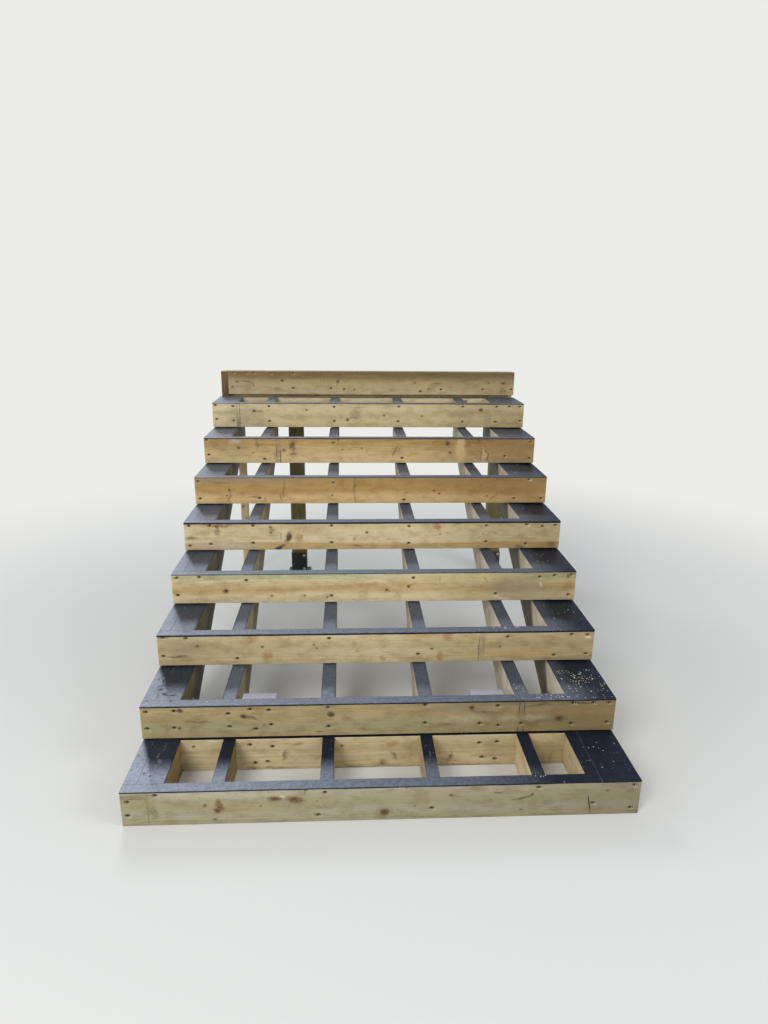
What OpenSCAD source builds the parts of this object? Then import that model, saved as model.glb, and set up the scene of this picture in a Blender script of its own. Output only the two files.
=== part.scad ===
/* [Flight] */
// Length of each riser board, which is the width of the flight
stair_width = 1900; // [1700:10:2400]
// Number of steps below the deck rim
step_count = 8; // [3:1:10]
// From the face of one riser to the face of the next
going = 304; // [260:1:340]
// Gap between the foot of a riser and the step below it
riser_gap = 10; // [4:1:40]

/* [Timber] */
// Height of the riser boards and of the box at the foot
board_height = 145; // [120:1:200]
// Thickness of the riser boards, the ledger and the rim
board_thick = 45; // [30:1:50]
// Thickness of the joists and of the stringers
joist_thick = 47; // [35:1:60]
// Width of the planed-off edge along each board
arris = 2.5; // [1:0.5:5]
// Gap left between two boards of a pack
pack_gap = 3; // [1:0.5:6]
// Boards in the pack at the left end
left_pack = 3; // [1:1:4]
// Boards in the pack at the right end
right_pack = 4; // [1:1:4]

/* [Stringers] */
// Timber left under the notches, square to the slope
stringer_throat = 175; // [160:1:230]
// Number of single stringers between the packs
middle_count = 4; // [2:1:4]
// Spacing of the single stringers, centre to centre
middle_spacing = 395; // [300:1:410]
// How far the single stringers stand to the right of the middle
middle_shift = -15.5; // [-40:0.5:40]
// Width of a saw cut
saw_kerf = 3; // [2:0.5:4]
// How far the saw ran past the inner corner of each notch
saw_overcut = 28; // [10:1:45]

/* [Foot box] */
// Width of the two stakes behind the back board and the second riser
stake_width = 135; // [90:1:150]
// How far the stakes end below the top of the second riser
stake_drop = 2; // [0.5:0.5:40]
// Gap between the first single stringer and the left stake
left_stake_gap = 26; // [5:1:80]
// Gap between the last single stringer and the right stake
right_stake_gap = 53; // [5:1:80]

/* [Deck rim] */
// Height of the ledger that closes the stringers
ledger_height = 145; // [120:1:240]
// Height of the rim boards
rim_height = 145; // [120:1:220]
// Gap between the top step and the rim boards
rim_lift = 15; // [5:1:40]
// How far the inner rim board and the rim end reach below the front board
inner_rim_drop = 50; // [30:1:90]
// From the left side of the flight to the end of the rim
rim_left_inset = 54; // [50:1:120]

/* [Posts] */
// Size of the square posts
post_size = 95; // [75:1:115]
// From the left side of the flight to the centre of the left post
left_post_inset = 475; // [200:5:700]
// From the right side of the flight to the centre of the right post
right_post_inset = 76; // [76:1:400]
// Height of the sleeve of a post shoe
shoe_height = 150; // [80:1:200]
// Wall of the sleeve
shoe_wall = 3; // [2:0.5:5]
// Clearance between the post and the sleeve, each side
shoe_clearance = 0.5; // [0.2:0.1:2]
// Width of the flange round the sleeve
shoe_flange = 24; // [20:1:30]
// Thickness of the base plate
shoe_plate_thick = 6; // [4:0.5:10]
// Diameter of the holes in the base plate
shoe_hole_d = 11; // [8:0.5:12]
// From the edge of the base plate to the centre of a hole
shoe_hole_inset = 13; // [10:0.5:13]

/* [Joist tape] */
// Thickness of the tape
tape_thick = 1.2; // [0.8:0.1:2]
// How far the tape folds down over the face of a riser
tape_fold = 6; // [3:0.5:15]
// Width of the tape on a single bearer
tape_width = 50; // [48:1:70]
// Seam left between two strips on a pack
tape_seam = 1; // [0.5:0.5:2]

/* [Hidden] */
timber = "#c9b27a";
timber_warm = "#c8a662";
timber_olive = "#9d9468";
timber_brown = "#8a6a4a";
tape_black = "#3c4250";
steel_black = "#1d1d20";

hole_faces = 32;
half_width = stair_width / 2;
pack_pitch = joist_thick + pack_gap;
rise = board_height + riser_gap;
slope = atan(rise / going);
throat_drop = stringer_throat / cos(slope);

shoe_sleeve = post_size + 2 * (shoe_clearance + shoe_wall);
shoe_plate = shoe_sleeve + 2 * shoe_flange;
shoe_hole_reach = shoe_plate / 2 - shoe_hole_inset;

flight_run = step_count * going;
post_middle = flight_run + post_size / 2;
front = -(post_middle + shoe_plate / 2 - tape_thick) / 2;
rim_face = front + flight_run;
ledger_face = rim_face - board_thick;
rim_foot = board_height + (step_count - 1) * rise + rim_lift;
inner_rim_foot = rim_foot - inner_rim_drop;
rim_left = -half_width + rim_left_inset;
left_post_x = -half_width + left_post_inset;
right_post_x = half_width - right_post_inset;

function step_top(i) = board_height + (i - 1) * rise;
function riser_face(i) = front + (i - 1) * going;
function riser_back(i) = riser_face(i) + board_thick;
function middle_x(k) = middle_shift + (k - (middle_count + 1) / 2) * middle_spacing;
function left_x(k) = -half_width + (k - 1) * pack_pitch + joist_thick / 2;
function right_x(k) = half_width - (right_pack - k) * pack_pitch - joist_thick / 2;
function underside(y) = step_top(2) - throat_drop + (y - riser_back(3)) * rise / going;

// One notch: along the step, down the overcut of the saw and back up to the next riser
function notch(i) = [
    [riser_back(i), step_top(i)],
    [riser_back(i + 1) - saw_kerf, step_top(i)],
    [riser_back(i + 1) - saw_kerf, step_top(i) - saw_overcut],
    [riser_back(i + 1), step_top(i) - saw_overcut]
];

stake_reach = (joist_thick + stake_width) / 2;
stake_left_x = middle_x(1) + stake_reach + left_stake_gap;
stake_right_x = middle_x(middle_count) - stake_reach - right_stake_gap;
stringer_heel = riser_back(3) - (step_top(2) - throat_drop) * going / rise;

// A plumb cut behind the box and the second riser, and another against the ledger
stringer_outline = concat(
    [[riser_back(2), 0]],
    [for (i = [2:step_count - 1]) each notch(i)],
    [
        [riser_back(step_count), step_top(step_count)],
        [ledger_face, step_top(step_count)],
        [ledger_face, underside(ledger_face)],
        [stringer_heel, 0]
    ]
);

// Section of a planed board, standing on its edge from the corner at the origin
module board_section(thick, height) {
    polygon([
        [arris, 0], [thick - arris, 0], [thick, arris], [thick, height - arris],
        [thick - arris, height], [arris, height], [0, height - arris], [0, arris]
    ]);
}

// A board along X, with its face at y and its lower edge at z
module cross_board(x, y, z, length, thick, height) {
    translate([x, y, z]) rotate([90, 0, 90]) linear_extrude(length) board_section(thick, height);
}

// A board along Y, centred on x
module joist(x, y, length) {
    translate([x + joist_thick / 2, y, 0]) rotate([90, 0, 180])
        linear_extrude(length) board_section(joist_thick, board_height);
}

module riser_board(i) {
    color(timber) cross_board(-half_width, riser_face(i), step_top(i) - board_height,
        stair_width, board_thick, board_height);
}

module box_back_board() {
    color(timber_warm) cross_board(-half_width, riser_face(2), 0,
        stair_width, board_thick, board_height);
}

module box_joist(x) {
    joist(x, riser_back(1), riser_face(2) - riser_back(1));
}

module box_joists_left() {
    color(timber) for (k = [1:left_pack]) box_joist(left_x(k));
}

module box_joists_middle() {
    color(timber) for (k = [1:middle_count]) box_joist(middle_x(k));
}

module box_joists_right() {
    color(timber) for (k = [1:right_pack]) box_joist(right_x(k));
}

module ground_stake(x) {
    color(timber_olive) translate([x - stake_width / 2, riser_back(2), 0])
        cube([stake_width, joist_thick, step_top(2) - stake_drop]);
}

module stringer(x) {
    color(timber) translate([x - joist_thick / 2, 0, 0]) rotate([90, 0, 90])
        linear_extrude(joist_thick) polygon(stringer_outline);
}

module ledger_board() {
    color(timber_warm) cross_board(-half_width, ledger_face, step_top(step_count) - ledger_height,
        stair_width, board_thick, ledger_height);
}

// A leg under the ledger, in line with the inner board of the left pack
module ledger_leg() {
    color(timber) translate([left_x(left_pack) - joist_thick / 2, ledger_face, 0])
        cube([joist_thick, board_thick, step_top(step_count) - ledger_height]);
}

module rim_board(y, foot) {
    color(timber) cross_board(rim_left, y, foot, half_width - rim_left, board_thick,
        rim_foot + rim_height - foot);
}

module deck_rim_end() {
    color(timber_brown) translate([rim_left - board_thick, rim_face, inner_rim_foot])
        cube([board_thick, post_size, rim_height + inner_rim_drop]);
}

module post(x) {
    color(timber_olive) translate([x - post_size / 2, rim_face, shoe_plate_thick])
        cube([post_size, post_size, inner_rim_foot - shoe_plate_thick]);
}

module square_block(side, height) {
    translate([-side / 2, -side / 2, 0]) cube([side, side, height]);
}

module post_shoe(x) {
    color(steel_black) translate([x, front + post_middle, 0]) difference() {
        union() {
            square_block(shoe_plate, shoe_plate_thick);
            square_block(shoe_sleeve, shoe_plate_thick + shoe_height);
        }
        translate([0, 0, shoe_plate_thick])
            square_block(shoe_sleeve - 2 * shoe_wall, shoe_height + shoe_wall);
        for (sx = [-1, 1]) for (sy = [-1, 1])
            translate([sx * shoe_hole_reach, sy * shoe_hole_reach, -shoe_plate_thick])
                cylinder(d = shoe_hole_d, h = 3 * shoe_plate_thick, $fn = hole_faces);
    }
}

module tape_strip(x, width, y_start, y_end, z) {
    translate([x, y_start, z]) cube([width, y_end - y_start, tape_thick]);
}

// Where the strips of a step end, and where its rear bar starts
function strip_end(i) = i == step_count ? rim_face : riser_back(i + 1);
function bar_start(i) = i == 1 ? riser_face(2) : ledger_face;

module joist_tape(i) {
    strip_pack = pack_pitch - tape_seam;
    face = riser_face(i) - tape_thick;
    color(tape_black) {
        tape_strip(-half_width, stair_width, face, riser_back(i), step_top(i));
        translate([-half_width, face, step_top(i) - tape_fold])
            cube([stair_width, tape_thick, tape_fold]);
        for (k = [1:left_pack])
            tape_strip(-half_width + (k - 1) * pack_pitch, strip_pack,
                riser_back(i), strip_end(i), step_top(i));
        for (k = [1:middle_count])
            tape_strip(middle_x(k) - tape_width / 2, tape_width,
                riser_back(i), strip_end(i), step_top(i));
        for (k = [1:right_pack])
            tape_strip(half_width - (k - 1) * pack_pitch - strip_pack, strip_pack,
                riser_back(i), strip_end(i), step_top(i));
        if (i == 1 || i == step_count)
            tape_strip(-half_width, stair_width, bar_start(i), strip_end(i), step_top(i));
    }
}

for (i = [1:step_count]) riser_board(i);
box_back_board();
box_joists_left();
box_joists_middle();
box_joists_right();
ground_stake(stake_left_x);  // ground_stake_left
ground_stake(stake_right_x);  // ground_stake_right
for (k = [1:left_pack]) stringer(left_x(k));
for (k = [1:middle_count]) stringer(middle_x(k));
for (k = [1:right_pack]) stringer(right_x(k));
ledger_board();
ledger_leg();
rim_board(rim_face, rim_foot);  // deck_rim_front
rim_board(rim_face + board_thick, inner_rim_foot);  // deck_rim_inner
deck_rim_end();
post(left_post_x);  // post_left
post(right_post_x);  // post_right
post_shoe(left_post_x);  // post_shoe_left
post_shoe(right_post_x);  // post_shoe_right
for (i = [1:step_count]) joist_tape(i);
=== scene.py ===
# %% [markdown]
# Wooden deck stairs, dressed in cells. The flight is an open frame: riser boards on sawtooth
# stringers, a box at the foot, and a doubled board at the top that belongs to the deck's rim.
# The treads are not fitted yet, so black joist tape still shows on every bearer.
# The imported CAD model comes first. It is the fixed frame that every piece below is measured on.

# %% Load the frame
import math
import random

import bmesh
import bpy
from mathutils import Matrix, Vector


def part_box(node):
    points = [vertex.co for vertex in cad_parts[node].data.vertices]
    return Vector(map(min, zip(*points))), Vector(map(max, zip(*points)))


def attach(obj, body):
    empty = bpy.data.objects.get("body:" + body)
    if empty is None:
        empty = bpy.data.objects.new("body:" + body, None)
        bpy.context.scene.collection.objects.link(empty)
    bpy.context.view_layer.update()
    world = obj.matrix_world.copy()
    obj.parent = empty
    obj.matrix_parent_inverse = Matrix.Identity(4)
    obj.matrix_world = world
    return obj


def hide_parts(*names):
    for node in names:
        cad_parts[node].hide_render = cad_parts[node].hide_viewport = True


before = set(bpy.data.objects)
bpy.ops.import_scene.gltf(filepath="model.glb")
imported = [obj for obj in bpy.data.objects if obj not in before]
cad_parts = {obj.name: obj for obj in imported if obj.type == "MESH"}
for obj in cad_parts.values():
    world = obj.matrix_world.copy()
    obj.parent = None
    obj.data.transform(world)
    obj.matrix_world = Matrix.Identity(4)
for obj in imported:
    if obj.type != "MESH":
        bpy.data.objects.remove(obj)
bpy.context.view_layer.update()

# %% [markdown]
# The camera stands where the photographer stood. Its height, tilt and focal length were solved
# from the corners of the riser boards, so a piece in the right place also looks right.
# Blender's lens value is the focal length over the long side of the picture, on a 36 mm sensor.

# %% Camera
PICTURE = (768, 1024)
FOCAL_PX = 699.27
EYE = Vector((-0.12468, -3.41214, 1.83274))
PITCH, YAW, ROLL = math.radians(16.84), math.radians(2.936), math.radians(0.628)

look = Vector((math.sin(YAW) * math.cos(PITCH), math.cos(YAW) * math.cos(PITCH), -math.sin(PITCH)))
level = Vector((math.cos(YAW), -math.sin(YAW), 0))
above = level.cross(look)
side = math.cos(ROLL) * level + math.sin(ROLL) * above
top = -math.sin(ROLL) * level + math.cos(ROLL) * above
camera_data = bpy.data.cameras.new("camera")
camera_data.sensor_fit = "AUTO"
camera_data.sensor_width = 36
camera_data.lens = FOCAL_PX / max(PICTURE) * camera_data.sensor_width
camera_data.clip_end = 200
camera = bpy.data.objects.new("camera", camera_data)
turn = Matrix((side, top, -look)).transposed()
camera.matrix_world = Matrix.Translation(EYE) @ turn.to_4x4()
bpy.context.scene.collection.objects.link(camera)
bpy.context.scene.camera = camera
print(f"lens {camera_data.lens:.2f} mm at {tuple(round(v, 3) for v in EYE)}")

# %% [markdown]
# Node trees are built in code, and a small class keeps that readable. A wire is what leaves a
# node. A sum on wires, such as depth * 0.5 + 0.1, adds the Math nodes for it, or Vector Math
# nodes where the wires carry vectors. It works for shaders and for geometry.

# %% Wires between nodes
class Wire:
    """What leaves a node, from its first output or from the one named in brackets."""

    def __init__(self, node, output=0):
        self.node = node
        self.output = output

    def __getitem__(self, output):
        return Wire(self.node, output)

    def __add__(self, other):
        return calc("ADD", self, other)

    def __sub__(self, other):
        return calc("SUBTRACT", self, other)

    def __rsub__(self, other):
        return calc("SUBTRACT", other, self)

    def __mul__(self, other):
        return calc("MULTIPLY", self, other)

    def __truediv__(self, other):
        return calc("DIVIDE", self, other)

    def __abs__(self):
        return calc("ABSOLUTE", self)

    @property
    def socket(self):
        return self.node.outputs[self.output]


def tree_of(*values):
    """The node tree that the first wire among the values runs in."""
    return next(value.node.id_data for value in values if isinstance(value, Wire))


def add_node(tree, kind, inputs=None, **settings):
    """Adds a node, makes its settings, then links or sets its inputs, and returns its wire."""
    node = tree.nodes.new(kind)
    for name, value in settings.items():
        setattr(node, name, value)
    for name, value in (inputs or {}).items():
        if isinstance(value, Wire):
            tree.links.new(value.socket, node.inputs[name])
        else:
            node.inputs[name].default_value = value
    return Wire(node)


def calc(operation, *terms):
    """One Math node, or one Vector Math node where a term is a vector or a colour."""
    vectors = [term for term in terms if isinstance(term, Wire) and term.socket.type in ("VECTOR", "RGBA")]
    kind = "ShaderNodeVectorMath" if vectors else "ShaderNodeMath"
    result = add_node(tree_of(*terms), kind, dict(enumerate(terms)), operation=operation)
    return result["Value"] if operation in ("LENGTH", "DOT_PRODUCT") else result


print("wires ready")

# %% [markdown]
# Most of the patterns below come from five kinds of node, so each has a short name here. A node
# group is a tree with named sockets that other trees can use, like a function.

# %% Short names for common nodes
def vector(x=0.0, y=0.0, z=0.0):
    return add_node(tree_of(x, y, z), "ShaderNodeCombineXYZ", {0: x, 1: y, 2: z})


def split(value):
    return add_node(tree_of(value), "ShaderNodeSeparateXYZ", {0: value})


def fade(value, start, end, low=0.0, high=1.0):
    """A smooth change from low to high while value goes from start to end."""
    return add_node(tree_of(value), "ShaderNodeMapRange", {
        "Value": value, "From Min": start, "From Max": end, "To Min": low, "To Max": high,
    }, interpolation_type="SMOOTHSTEP")


def noise(place, scale, detail=2.0, roughness=0.5):
    return add_node(tree_of(place), "ShaderNodeTexNoise", {
        "Vector": place, "Scale": scale, "Detail": detail, "Roughness": roughness})


def mix(factor, a, b, mode="MIX"):
    """Colour a, changed to colour b as far as the factor says."""
    node = add_node(tree_of(factor, a, b), "ShaderNodeMix", {0: factor, 6: a, 7: b},
                    data_type="RGBA", blend_type=mode)
    return node[2]


def start_group(name, kind, inputs, outputs):
    """A node group with named sockets. Returns its tree and the wires of what it is given."""
    tree = bpy.data.node_groups.new(name, kind)
    sockets = {"f": "NodeSocketFloat", "v": "NodeSocketVector", "g": "NodeSocketGeometry",
               "o": "NodeSocketObject", "i": "NodeSocketInt", "m": "NodeSocketMaterial"}
    for direction, table in (("INPUT", inputs), ("OUTPUT", outputs)):
        for socket, letter in table.items():
            tree.interface.new_socket(socket, in_out=direction, socket_type=sockets[letter])
    return tree, add_node(tree, "NodeGroupInput")


def finish_group(tree, results):
    add_node(tree, "NodeGroupOutput", results)
    return tree


print("short names ready")

# %% [markdown]
# Every material starts with the place on the object that its pattern hangs on, and ends with a
# bump and one Principled shader. Every new mesh becomes a piece in the same way, so both get a
# helper too. Colours are written as a painter reads them, and turned into linear numbers.

# %% Helpers for materials and meshes
def new_material(name):
    """A material with an empty tree, and the wire of the place on the object."""
    material = bpy.data.materials.new(name)
    material.use_nodes = True
    material.node_tree.nodes.clear()
    return material, add_node(material.node_tree, "ShaderNodeTexCoord")["Object"]


def coat(colour, roughness, height, strength, distance, more=None):
    """The last nodes of a material: a bump, its distance in metres, and a Principled shader."""
    tree = tree_of(colour)
    bump = add_node(tree, "ShaderNodeBump", {"Height": height, "Strength": strength, "Distance": distance})
    shader = add_node(tree, "ShaderNodeBsdfPrincipled", {
        "Base Color": colour, "Roughness": roughness, "Normal": bump, **(more or {})})
    add_node(tree, "ShaderNodeOutputMaterial", {"Surface": shader})


def srgb(red, green, blue):
    """A colour as a painter reads it, 0 to 255, turned into Blender's linear numbers."""
    channels = [c / 255 for c in (red, green, blue)]
    return (*[c / 12.92 if c <= 0.04045 else ((c + 0.055) / 1.055) ** 2.4 for c in channels], 1.0)


def new_piece(name, mesh):
    piece = bpy.data.objects.new(name, mesh)
    bpy.context.scene.collection.objects.link(piece)
    return piece


def piece_from_shape(name, shape):
    """Turns a finished bmesh into a piece."""
    mesh = bpy.data.meshes.new(name)
    shape.to_mesh(mesh)
    shape.free()
    return new_piece(name, mesh)


def piece_from_points(name, points, edges=(), faces=()):
    mesh = bpy.data.meshes.new(name)
    mesh.from_pydata(points, edges, faces)
    return new_piece(name, mesh)


def dress(piece, material):
    piece.data.materials.clear()
    piece.data.materials.append(material)


print("material and mesh helpers ready")

# %% [markdown]
# Plain soft studio light: a pale world, a wide key lamp high on the left, a weaker one on the
# right and one behind. The lamps are wide, so that the gaps under the risers darken softly.

# %% Lamps and world
BACKGROUND = srgb(236, 236, 233)
SHADE_OF_WORLD = srgb(222, 228, 236)
LAMP_SIZE = 3.0


def lamp(name, place, aim, power, colour=(1, 1, 1)):
    data = bpy.data.lights.new(name, "AREA")
    data.shape = "DISK"
    data.size = LAMP_SIZE
    data.energy = power
    data.color = colour
    item = bpy.data.objects.new(name, data)
    item.location = place
    item.rotation_euler = (Vector(aim) - Vector(place)).to_track_quat("-Z", "Y").to_euler()
    bpy.context.scene.collection.objects.link(item)


lamp("key_lamp", (-2.8, -5.2, 4.2), (0, 0, 0.6), 240, (1.0, 0.98, 0.95))
lamp("fill_lamp", (4.2, -3.0, 3.4), (0, 0, 0.5), 95)
lamp("back_lamp", (-2.6, 5.0, 4.6), (0, 0.4, 0.6), 170, (0.95, 0.98, 1.0))

world = bpy.data.worlds.new("studio")
bpy.context.scene.world = world
world.use_nodes = True
tree = world.node_tree
tree.nodes.clear()
path = add_node(tree, "ShaderNodeLightPath")
seen = calc("MAXIMUM", path["Is Camera Ray"], path["Is Transmission Ray"])
light = add_node(tree, "ShaderNodeBackground", {"Color": SHADE_OF_WORLD, "Strength": 0.62})
plain = add_node(tree, "ShaderNodeBackground", {"Color": BACKGROUND, "Strength": 1.0})
either = add_node(tree, "ShaderNodeMixShader", {0: seen, 1: light, 2: plain})
add_node(tree, "ShaderNodeOutputWorld", {"Surface": either})
bpy.context.scene.view_settings.view_transform = "Standard"
print("three lamps and a pale world")

# %% [markdown]
# The floor is a large disc. Far from the stairs it turns into the colour of the world, so no
# horizon shows, and near them it is matt and takes their shadow.

# %% Floor
disc = bmesh.new()
bmesh.ops.create_circle(disc, cap_ends=True, radius=60, segments=64)
floor = piece_from_shape("studio_floor", disc)
floor.location.z = -0.0005
paint, spot = new_material("studio_floor")
tree = paint.node_tree
matt = add_node(tree, "ShaderNodeBsdfDiffuse", {"Color": srgb(214, 214, 211)})
glow = add_node(tree, "ShaderNodeEmission", {"Color": BACKGROUND})
far = fade(calc("LENGTH", spot), 1.6, 4.6) * add_node(tree, "ShaderNodeLightPath")["Is Camera Ray"]
both = add_node(tree, "ShaderNodeMixShader", {0: far, 1: matt, 2: glow})
add_node(tree, "ShaderNodeOutputMaterial", {"Surface": both})
dress(floor, paint)
print("one floor")

# %% [markdown]
# Sawn softwood is a solid, so its pattern is solid too. Growth rings are shells round the pith,
# a line along the tree, so one sum of the distance from that line draws long flames on the wide
# face, stripes on the edge and arcs on the sawn end, and they all meet at the corners.
# The group gives masks only. Each material adds its own colours.

# %% Shader group for softwood grain
tree, given = start_group("softwood_grain", "ShaderNodeTree",
                          {"Along Depth Across": "v", "Pith": "v", "Ring Width": "f", "Wander": "f"},
                          {"Late Wood": "f", "Fibre": "f", "Cloud": "f", "Mottle": "f", "Fleck": "f"})
place = given["Along Depth Across"]
bend = noise(place * (0.9, 3.0, 3.0), 1.0)["Color"] - (0.5, 0.5, 0.5)
bend = add_node(tree, "ShaderNodeVectorMath", {0: bend, "Scale": given["Wander"]}, operation="SCALE")
radius = calc("LENGTH", (place - given["Pith"] + bend) * (0, 1, 1))
radius = radius + noise(place * (2.5, 40, 40), 1.0) * 0.004
ring_part = calc("FRACT", radius / given["Ring Width"])
late = fade(ring_part, 0.25, 0.88) * fade(ring_part, 1.0, 0.93)
mottle = noise(place * (12, 26, 26), 1.0, 5, 0.62)
dashes = noise(place * (60, 150, 210), 1.0, 3, 0.55)
GRAIN = finish_group(tree, {
    "Late Wood": late, "Mottle": mottle,
    "Fibre": noise(place * (5, 330, 330), 1.0, 3, 0.6),
    "Cloud": noise(place * (1.3, 9, 11), 1.0, 3),
    "Fleck": fade(dashes + mottle * 0.5, 0.86, 1.0)})
print("softwood grain group:", len(tree.nodes), "nodes")

# %% [markdown]
# A knot is the root of a branch. It has a dark heart, a warm halo, and it pushes the grain
# around itself. Each knot takes the masks of the one before and adds its own, so a board can
# hold a chain of them at measured places.

# %% Shader group for knots
tree, given = start_group("knot", "ShaderNodeTree",
                          {"Place": "v", "Centre": "v", "Size": "f",
                           "Dark": "f", "Body": "f", "Halo": "f", "Push": "f"},
                          {"Dark": "f", "Body": "f", "Halo": "f", "Push": "f"})
off = given["Place"] - given["Centre"]
ragged = noise(given["Place"] + given["Centre"], 130.0, 3, 0.6)
reach = calc("LENGTH", off * (0.8, 1.0, 0)) / given["Size"] + (ragged - 0.5) * 1.1
outline = fade(abs(reach - 0.9), 0.3, 0.05, 0.0, 0.7)
heart = calc("MAXIMUM", outline, fade(reach, 0.75, 0.35)) * (ragged + 0.4)
heart = heart * fade(given["Size"], 0.003, 0.010, 0.4, 1.0)
halo = fade(reach, 3.0, 0.9)
KNOT = finish_group(tree, {
    "Dark": calc("MAXIMUM", given["Dark"], heart),
    "Body": calc("MAXIMUM", given["Body"], fade(reach, 1.25, 0.85)),
    "Halo": calc("MAXIMUM", given["Halo"], halo),
    "Push": given["Push"] + split(off)["Y"] * halo * 0.7})
print("knot group:", len(tree.nodes), "nodes")

# %% [markdown]
# A mark is the same idea for stains, pale spots, strap lines and the dark rim round a screw, which
# is dirt and painted shade: a soft ellipse that can be turned and made as thin as a pencil line.

# %% Shader group for marks
tree, given = start_group("mark", "ShaderNodeTree",
                          {"Place": "v", "Centre": "v", "Half Size": "v", "Turn": "f", "Softness": "f",
                           "Strength": "f", "Mask": "f"}, {"Mask": "f"})
turned = add_node(tree, "ShaderNodeVectorRotate",
                  {"Vector": given["Place"] - given["Centre"], "Angle": given["Turn"]},
                  rotation_type="Z_AXIS")
reach = calc("LENGTH", turned / given["Half Size"])
spread = fade(reach, given["Softness"] + 1.0, 1.0 - given["Softness"])
spread = spread * fade(noise(given["Place"], 75.0, 4, 0.65), 0.3, 0.6, 0.5, 1.3)
MARK = finish_group(tree, {"Mask": calc("MAXIMUM", given["Mask"], spread * given["Strength"])})


def mark(mask, place, centre, half_size, turn, softness, strength):
    """A mask with one more soft ellipse on it. The places are in metres, the turn in radians."""
    return add_node(tree_of(place), "ShaderNodeGroup", {
        "Place": place, "Centre": (*centre, 0), "Half Size": (*half_size, 1), "Turn": turn,
        "Softness": softness, "Strength": strength, "Mask": mask}, node_tree=MARK)


print("mark group:", len(tree.nodes), "nodes")

# %% [markdown]
# Edges of a board rub pale and round. On a box-shaped piece the nearest edge is easy to find:
# of the three distances to the pairs of faces, the second smallest is the way to the edge.
# Dust is a mask of drifts and of small specks, more of it on faces that look up.

# %% Shader groups for edge wear and dust
tree, given = start_group("edge_wear", "ShaderNodeTree",
                          {"From Centre": "v", "Half Size": "v", "Width": "f"}, {"Edge": "f"})
gaps = split(given["Half Size"] - abs(given["From Centre"]))
least = calc("MINIMUM", gaps[0], gaps[1])
most = calc("MAXIMUM", gaps[0], gaps[1])
second = calc("MAXIMUM", least, calc("MINIMUM", most, gaps[2]))
second = second + (noise(given["From Centre"], 60.0, 3) - 0.5) * given["Width"]
EDGE = finish_group(tree, {"Edge": fade(second, given["Width"], 0.0)})

tree, given = start_group("dust", "ShaderNodeTree", {"Place": "v", "Drift": "f", "Speck Size": "f"},
                          {"Drift": "f", "Specks": "f"})
upward = fade(split(add_node(tree, "ShaderNodeNewGeometry")["Normal"])["Z"], -0.2, 0.9, 0.35, 1.0)
drift = fade(noise(given["Place"], 9.0, 5, 0.62) + given["Drift"], 0.45, 1.05) * upward
cells = add_node(tree, "ShaderNodeTexVoronoi", {"Vector": given["Place"], "Scale": 55.0, "Randomness": 1.0})
chance = add_node(tree, "ShaderNodeSeparateColor", {0: cells["Color"]})
specks = fade(cells["Distance"], given["Speck Size"], 0.0) * calc("GREATER_THAN", chance, 0.6)
DUST = finish_group(tree, {"Drift": drift, "Specks": specks * upward})


def dust_masks(place, drift, speck_size):
    return add_node(tree_of(place), "ShaderNodeGroup", {
        "Place": place, "Drift": drift, "Speck Size": speck_size}, node_tree=DUST)


print("edge wear and dust groups ready")

# %% [markdown]
# The timber finish turns the object's place into a board's own place: along the grain, into the
# depth and across the face. The broad tones are names from a small list of colours, as a joiner
# would call them, and a ramp lays them over the board.

# %% Timber tones and ramps
TONES = {
    "cream": srgb(216, 200, 162), "pale": srgb(203, 187, 146), "straw": srgb(188, 171, 127),
    "honey": srgb(192, 166, 116), "amber": srgb(184, 150, 93), "umber": srgb(150, 120, 76),
    "olive": srgb(166, 160, 127), "lichen": srgb(176, 174, 136), "grey": srgb(140, 132, 106),
    "ash": srgb(176, 170, 154), "moss": srgb(112, 105, 66), "brown": srgb(104, 80, 48),
    "bark": srgb(62, 45, 29), "rust": srgb(158, 122, 74), "chalk": srgb(214, 206, 186),
    "soot": srgb(78, 72, 58), "knot": srgb(124, 97, 58), "lime": srgb(130, 124, 70),
    "khaki": srgb(152, 130, 84), "bleached": srgb(226, 221, 206), "dusk": srgb(104, 99, 86),
    "lilac": srgb(156, 158, 174), "sage": srgb(174, 169, 146), "linen": srgb(198, 191, 174),
    "gold": srgb(216, 186, 134),
}
# What these multiply is darker and warmer, but for the rubbed edge, which is paler and cooler.
MOTTLED, LATE_WOOD, FIBROUS = (0.72, 0.66, 0.54, 1), (0.62, 0.50, 0.34, 1), (0.60, 0.52, 0.40, 1)
KNOT_HALO, RUBBED = (0.82, 0.72, 0.54, 1), (1.30, 1.32, 1.50, 1)


def ramp(value, stops):
    """A colour ramp. A stop holds the name of a tone, or a number of painted light or shade, which darkens
    and warms below 1 and lightens and cools above it.
    """
    node = add_node(tree_of(value), "ShaderNodeValToRGB", {0: value})
    points = node.node.color_ramp.elements
    while len(points) < len(stops):
        points.new(0.5)
    for point, (position, tone) in zip(points, stops):
        point.position = position
        point.color = TONES[tone] if isinstance(tone, str) else (tone, tone ** 1.12, tone ** 1.4, 1)
    return node


print(len(TONES), "timber tones")

# %% [markdown]
# Where the next step hangs over a stringer, its side gets a painted shadow, darker than the part
# lit through the gap in front. The mask for it is worked out from the going and the rise of the
# flight, which the frame gives, and from the thickness of a riser board. Its edge leans by a fixed
# number of metres for each metre down, as the edge of that shadow does.

# %% Where a point lies on its board
BOARD = 0.045
SHADE_EDGE_LEAN = 0.59
FIRST_LOW, FIRST_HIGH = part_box("riser_board_1")
FLIGHT_WIDTH = FIRST_HIGH.x - FIRST_LOW.x
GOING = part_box("riser_board_2")[0].y - FIRST_LOW.y
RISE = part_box("riser_board_2")[1].z - FIRST_HIGH.z
# The order of a board's own axes: along the grain, into the depth, across the face.
ORDERS = {"X": (0, 1, 2), "Z": (2, 1, 0), "Y": (1, 0, 2)}


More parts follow.
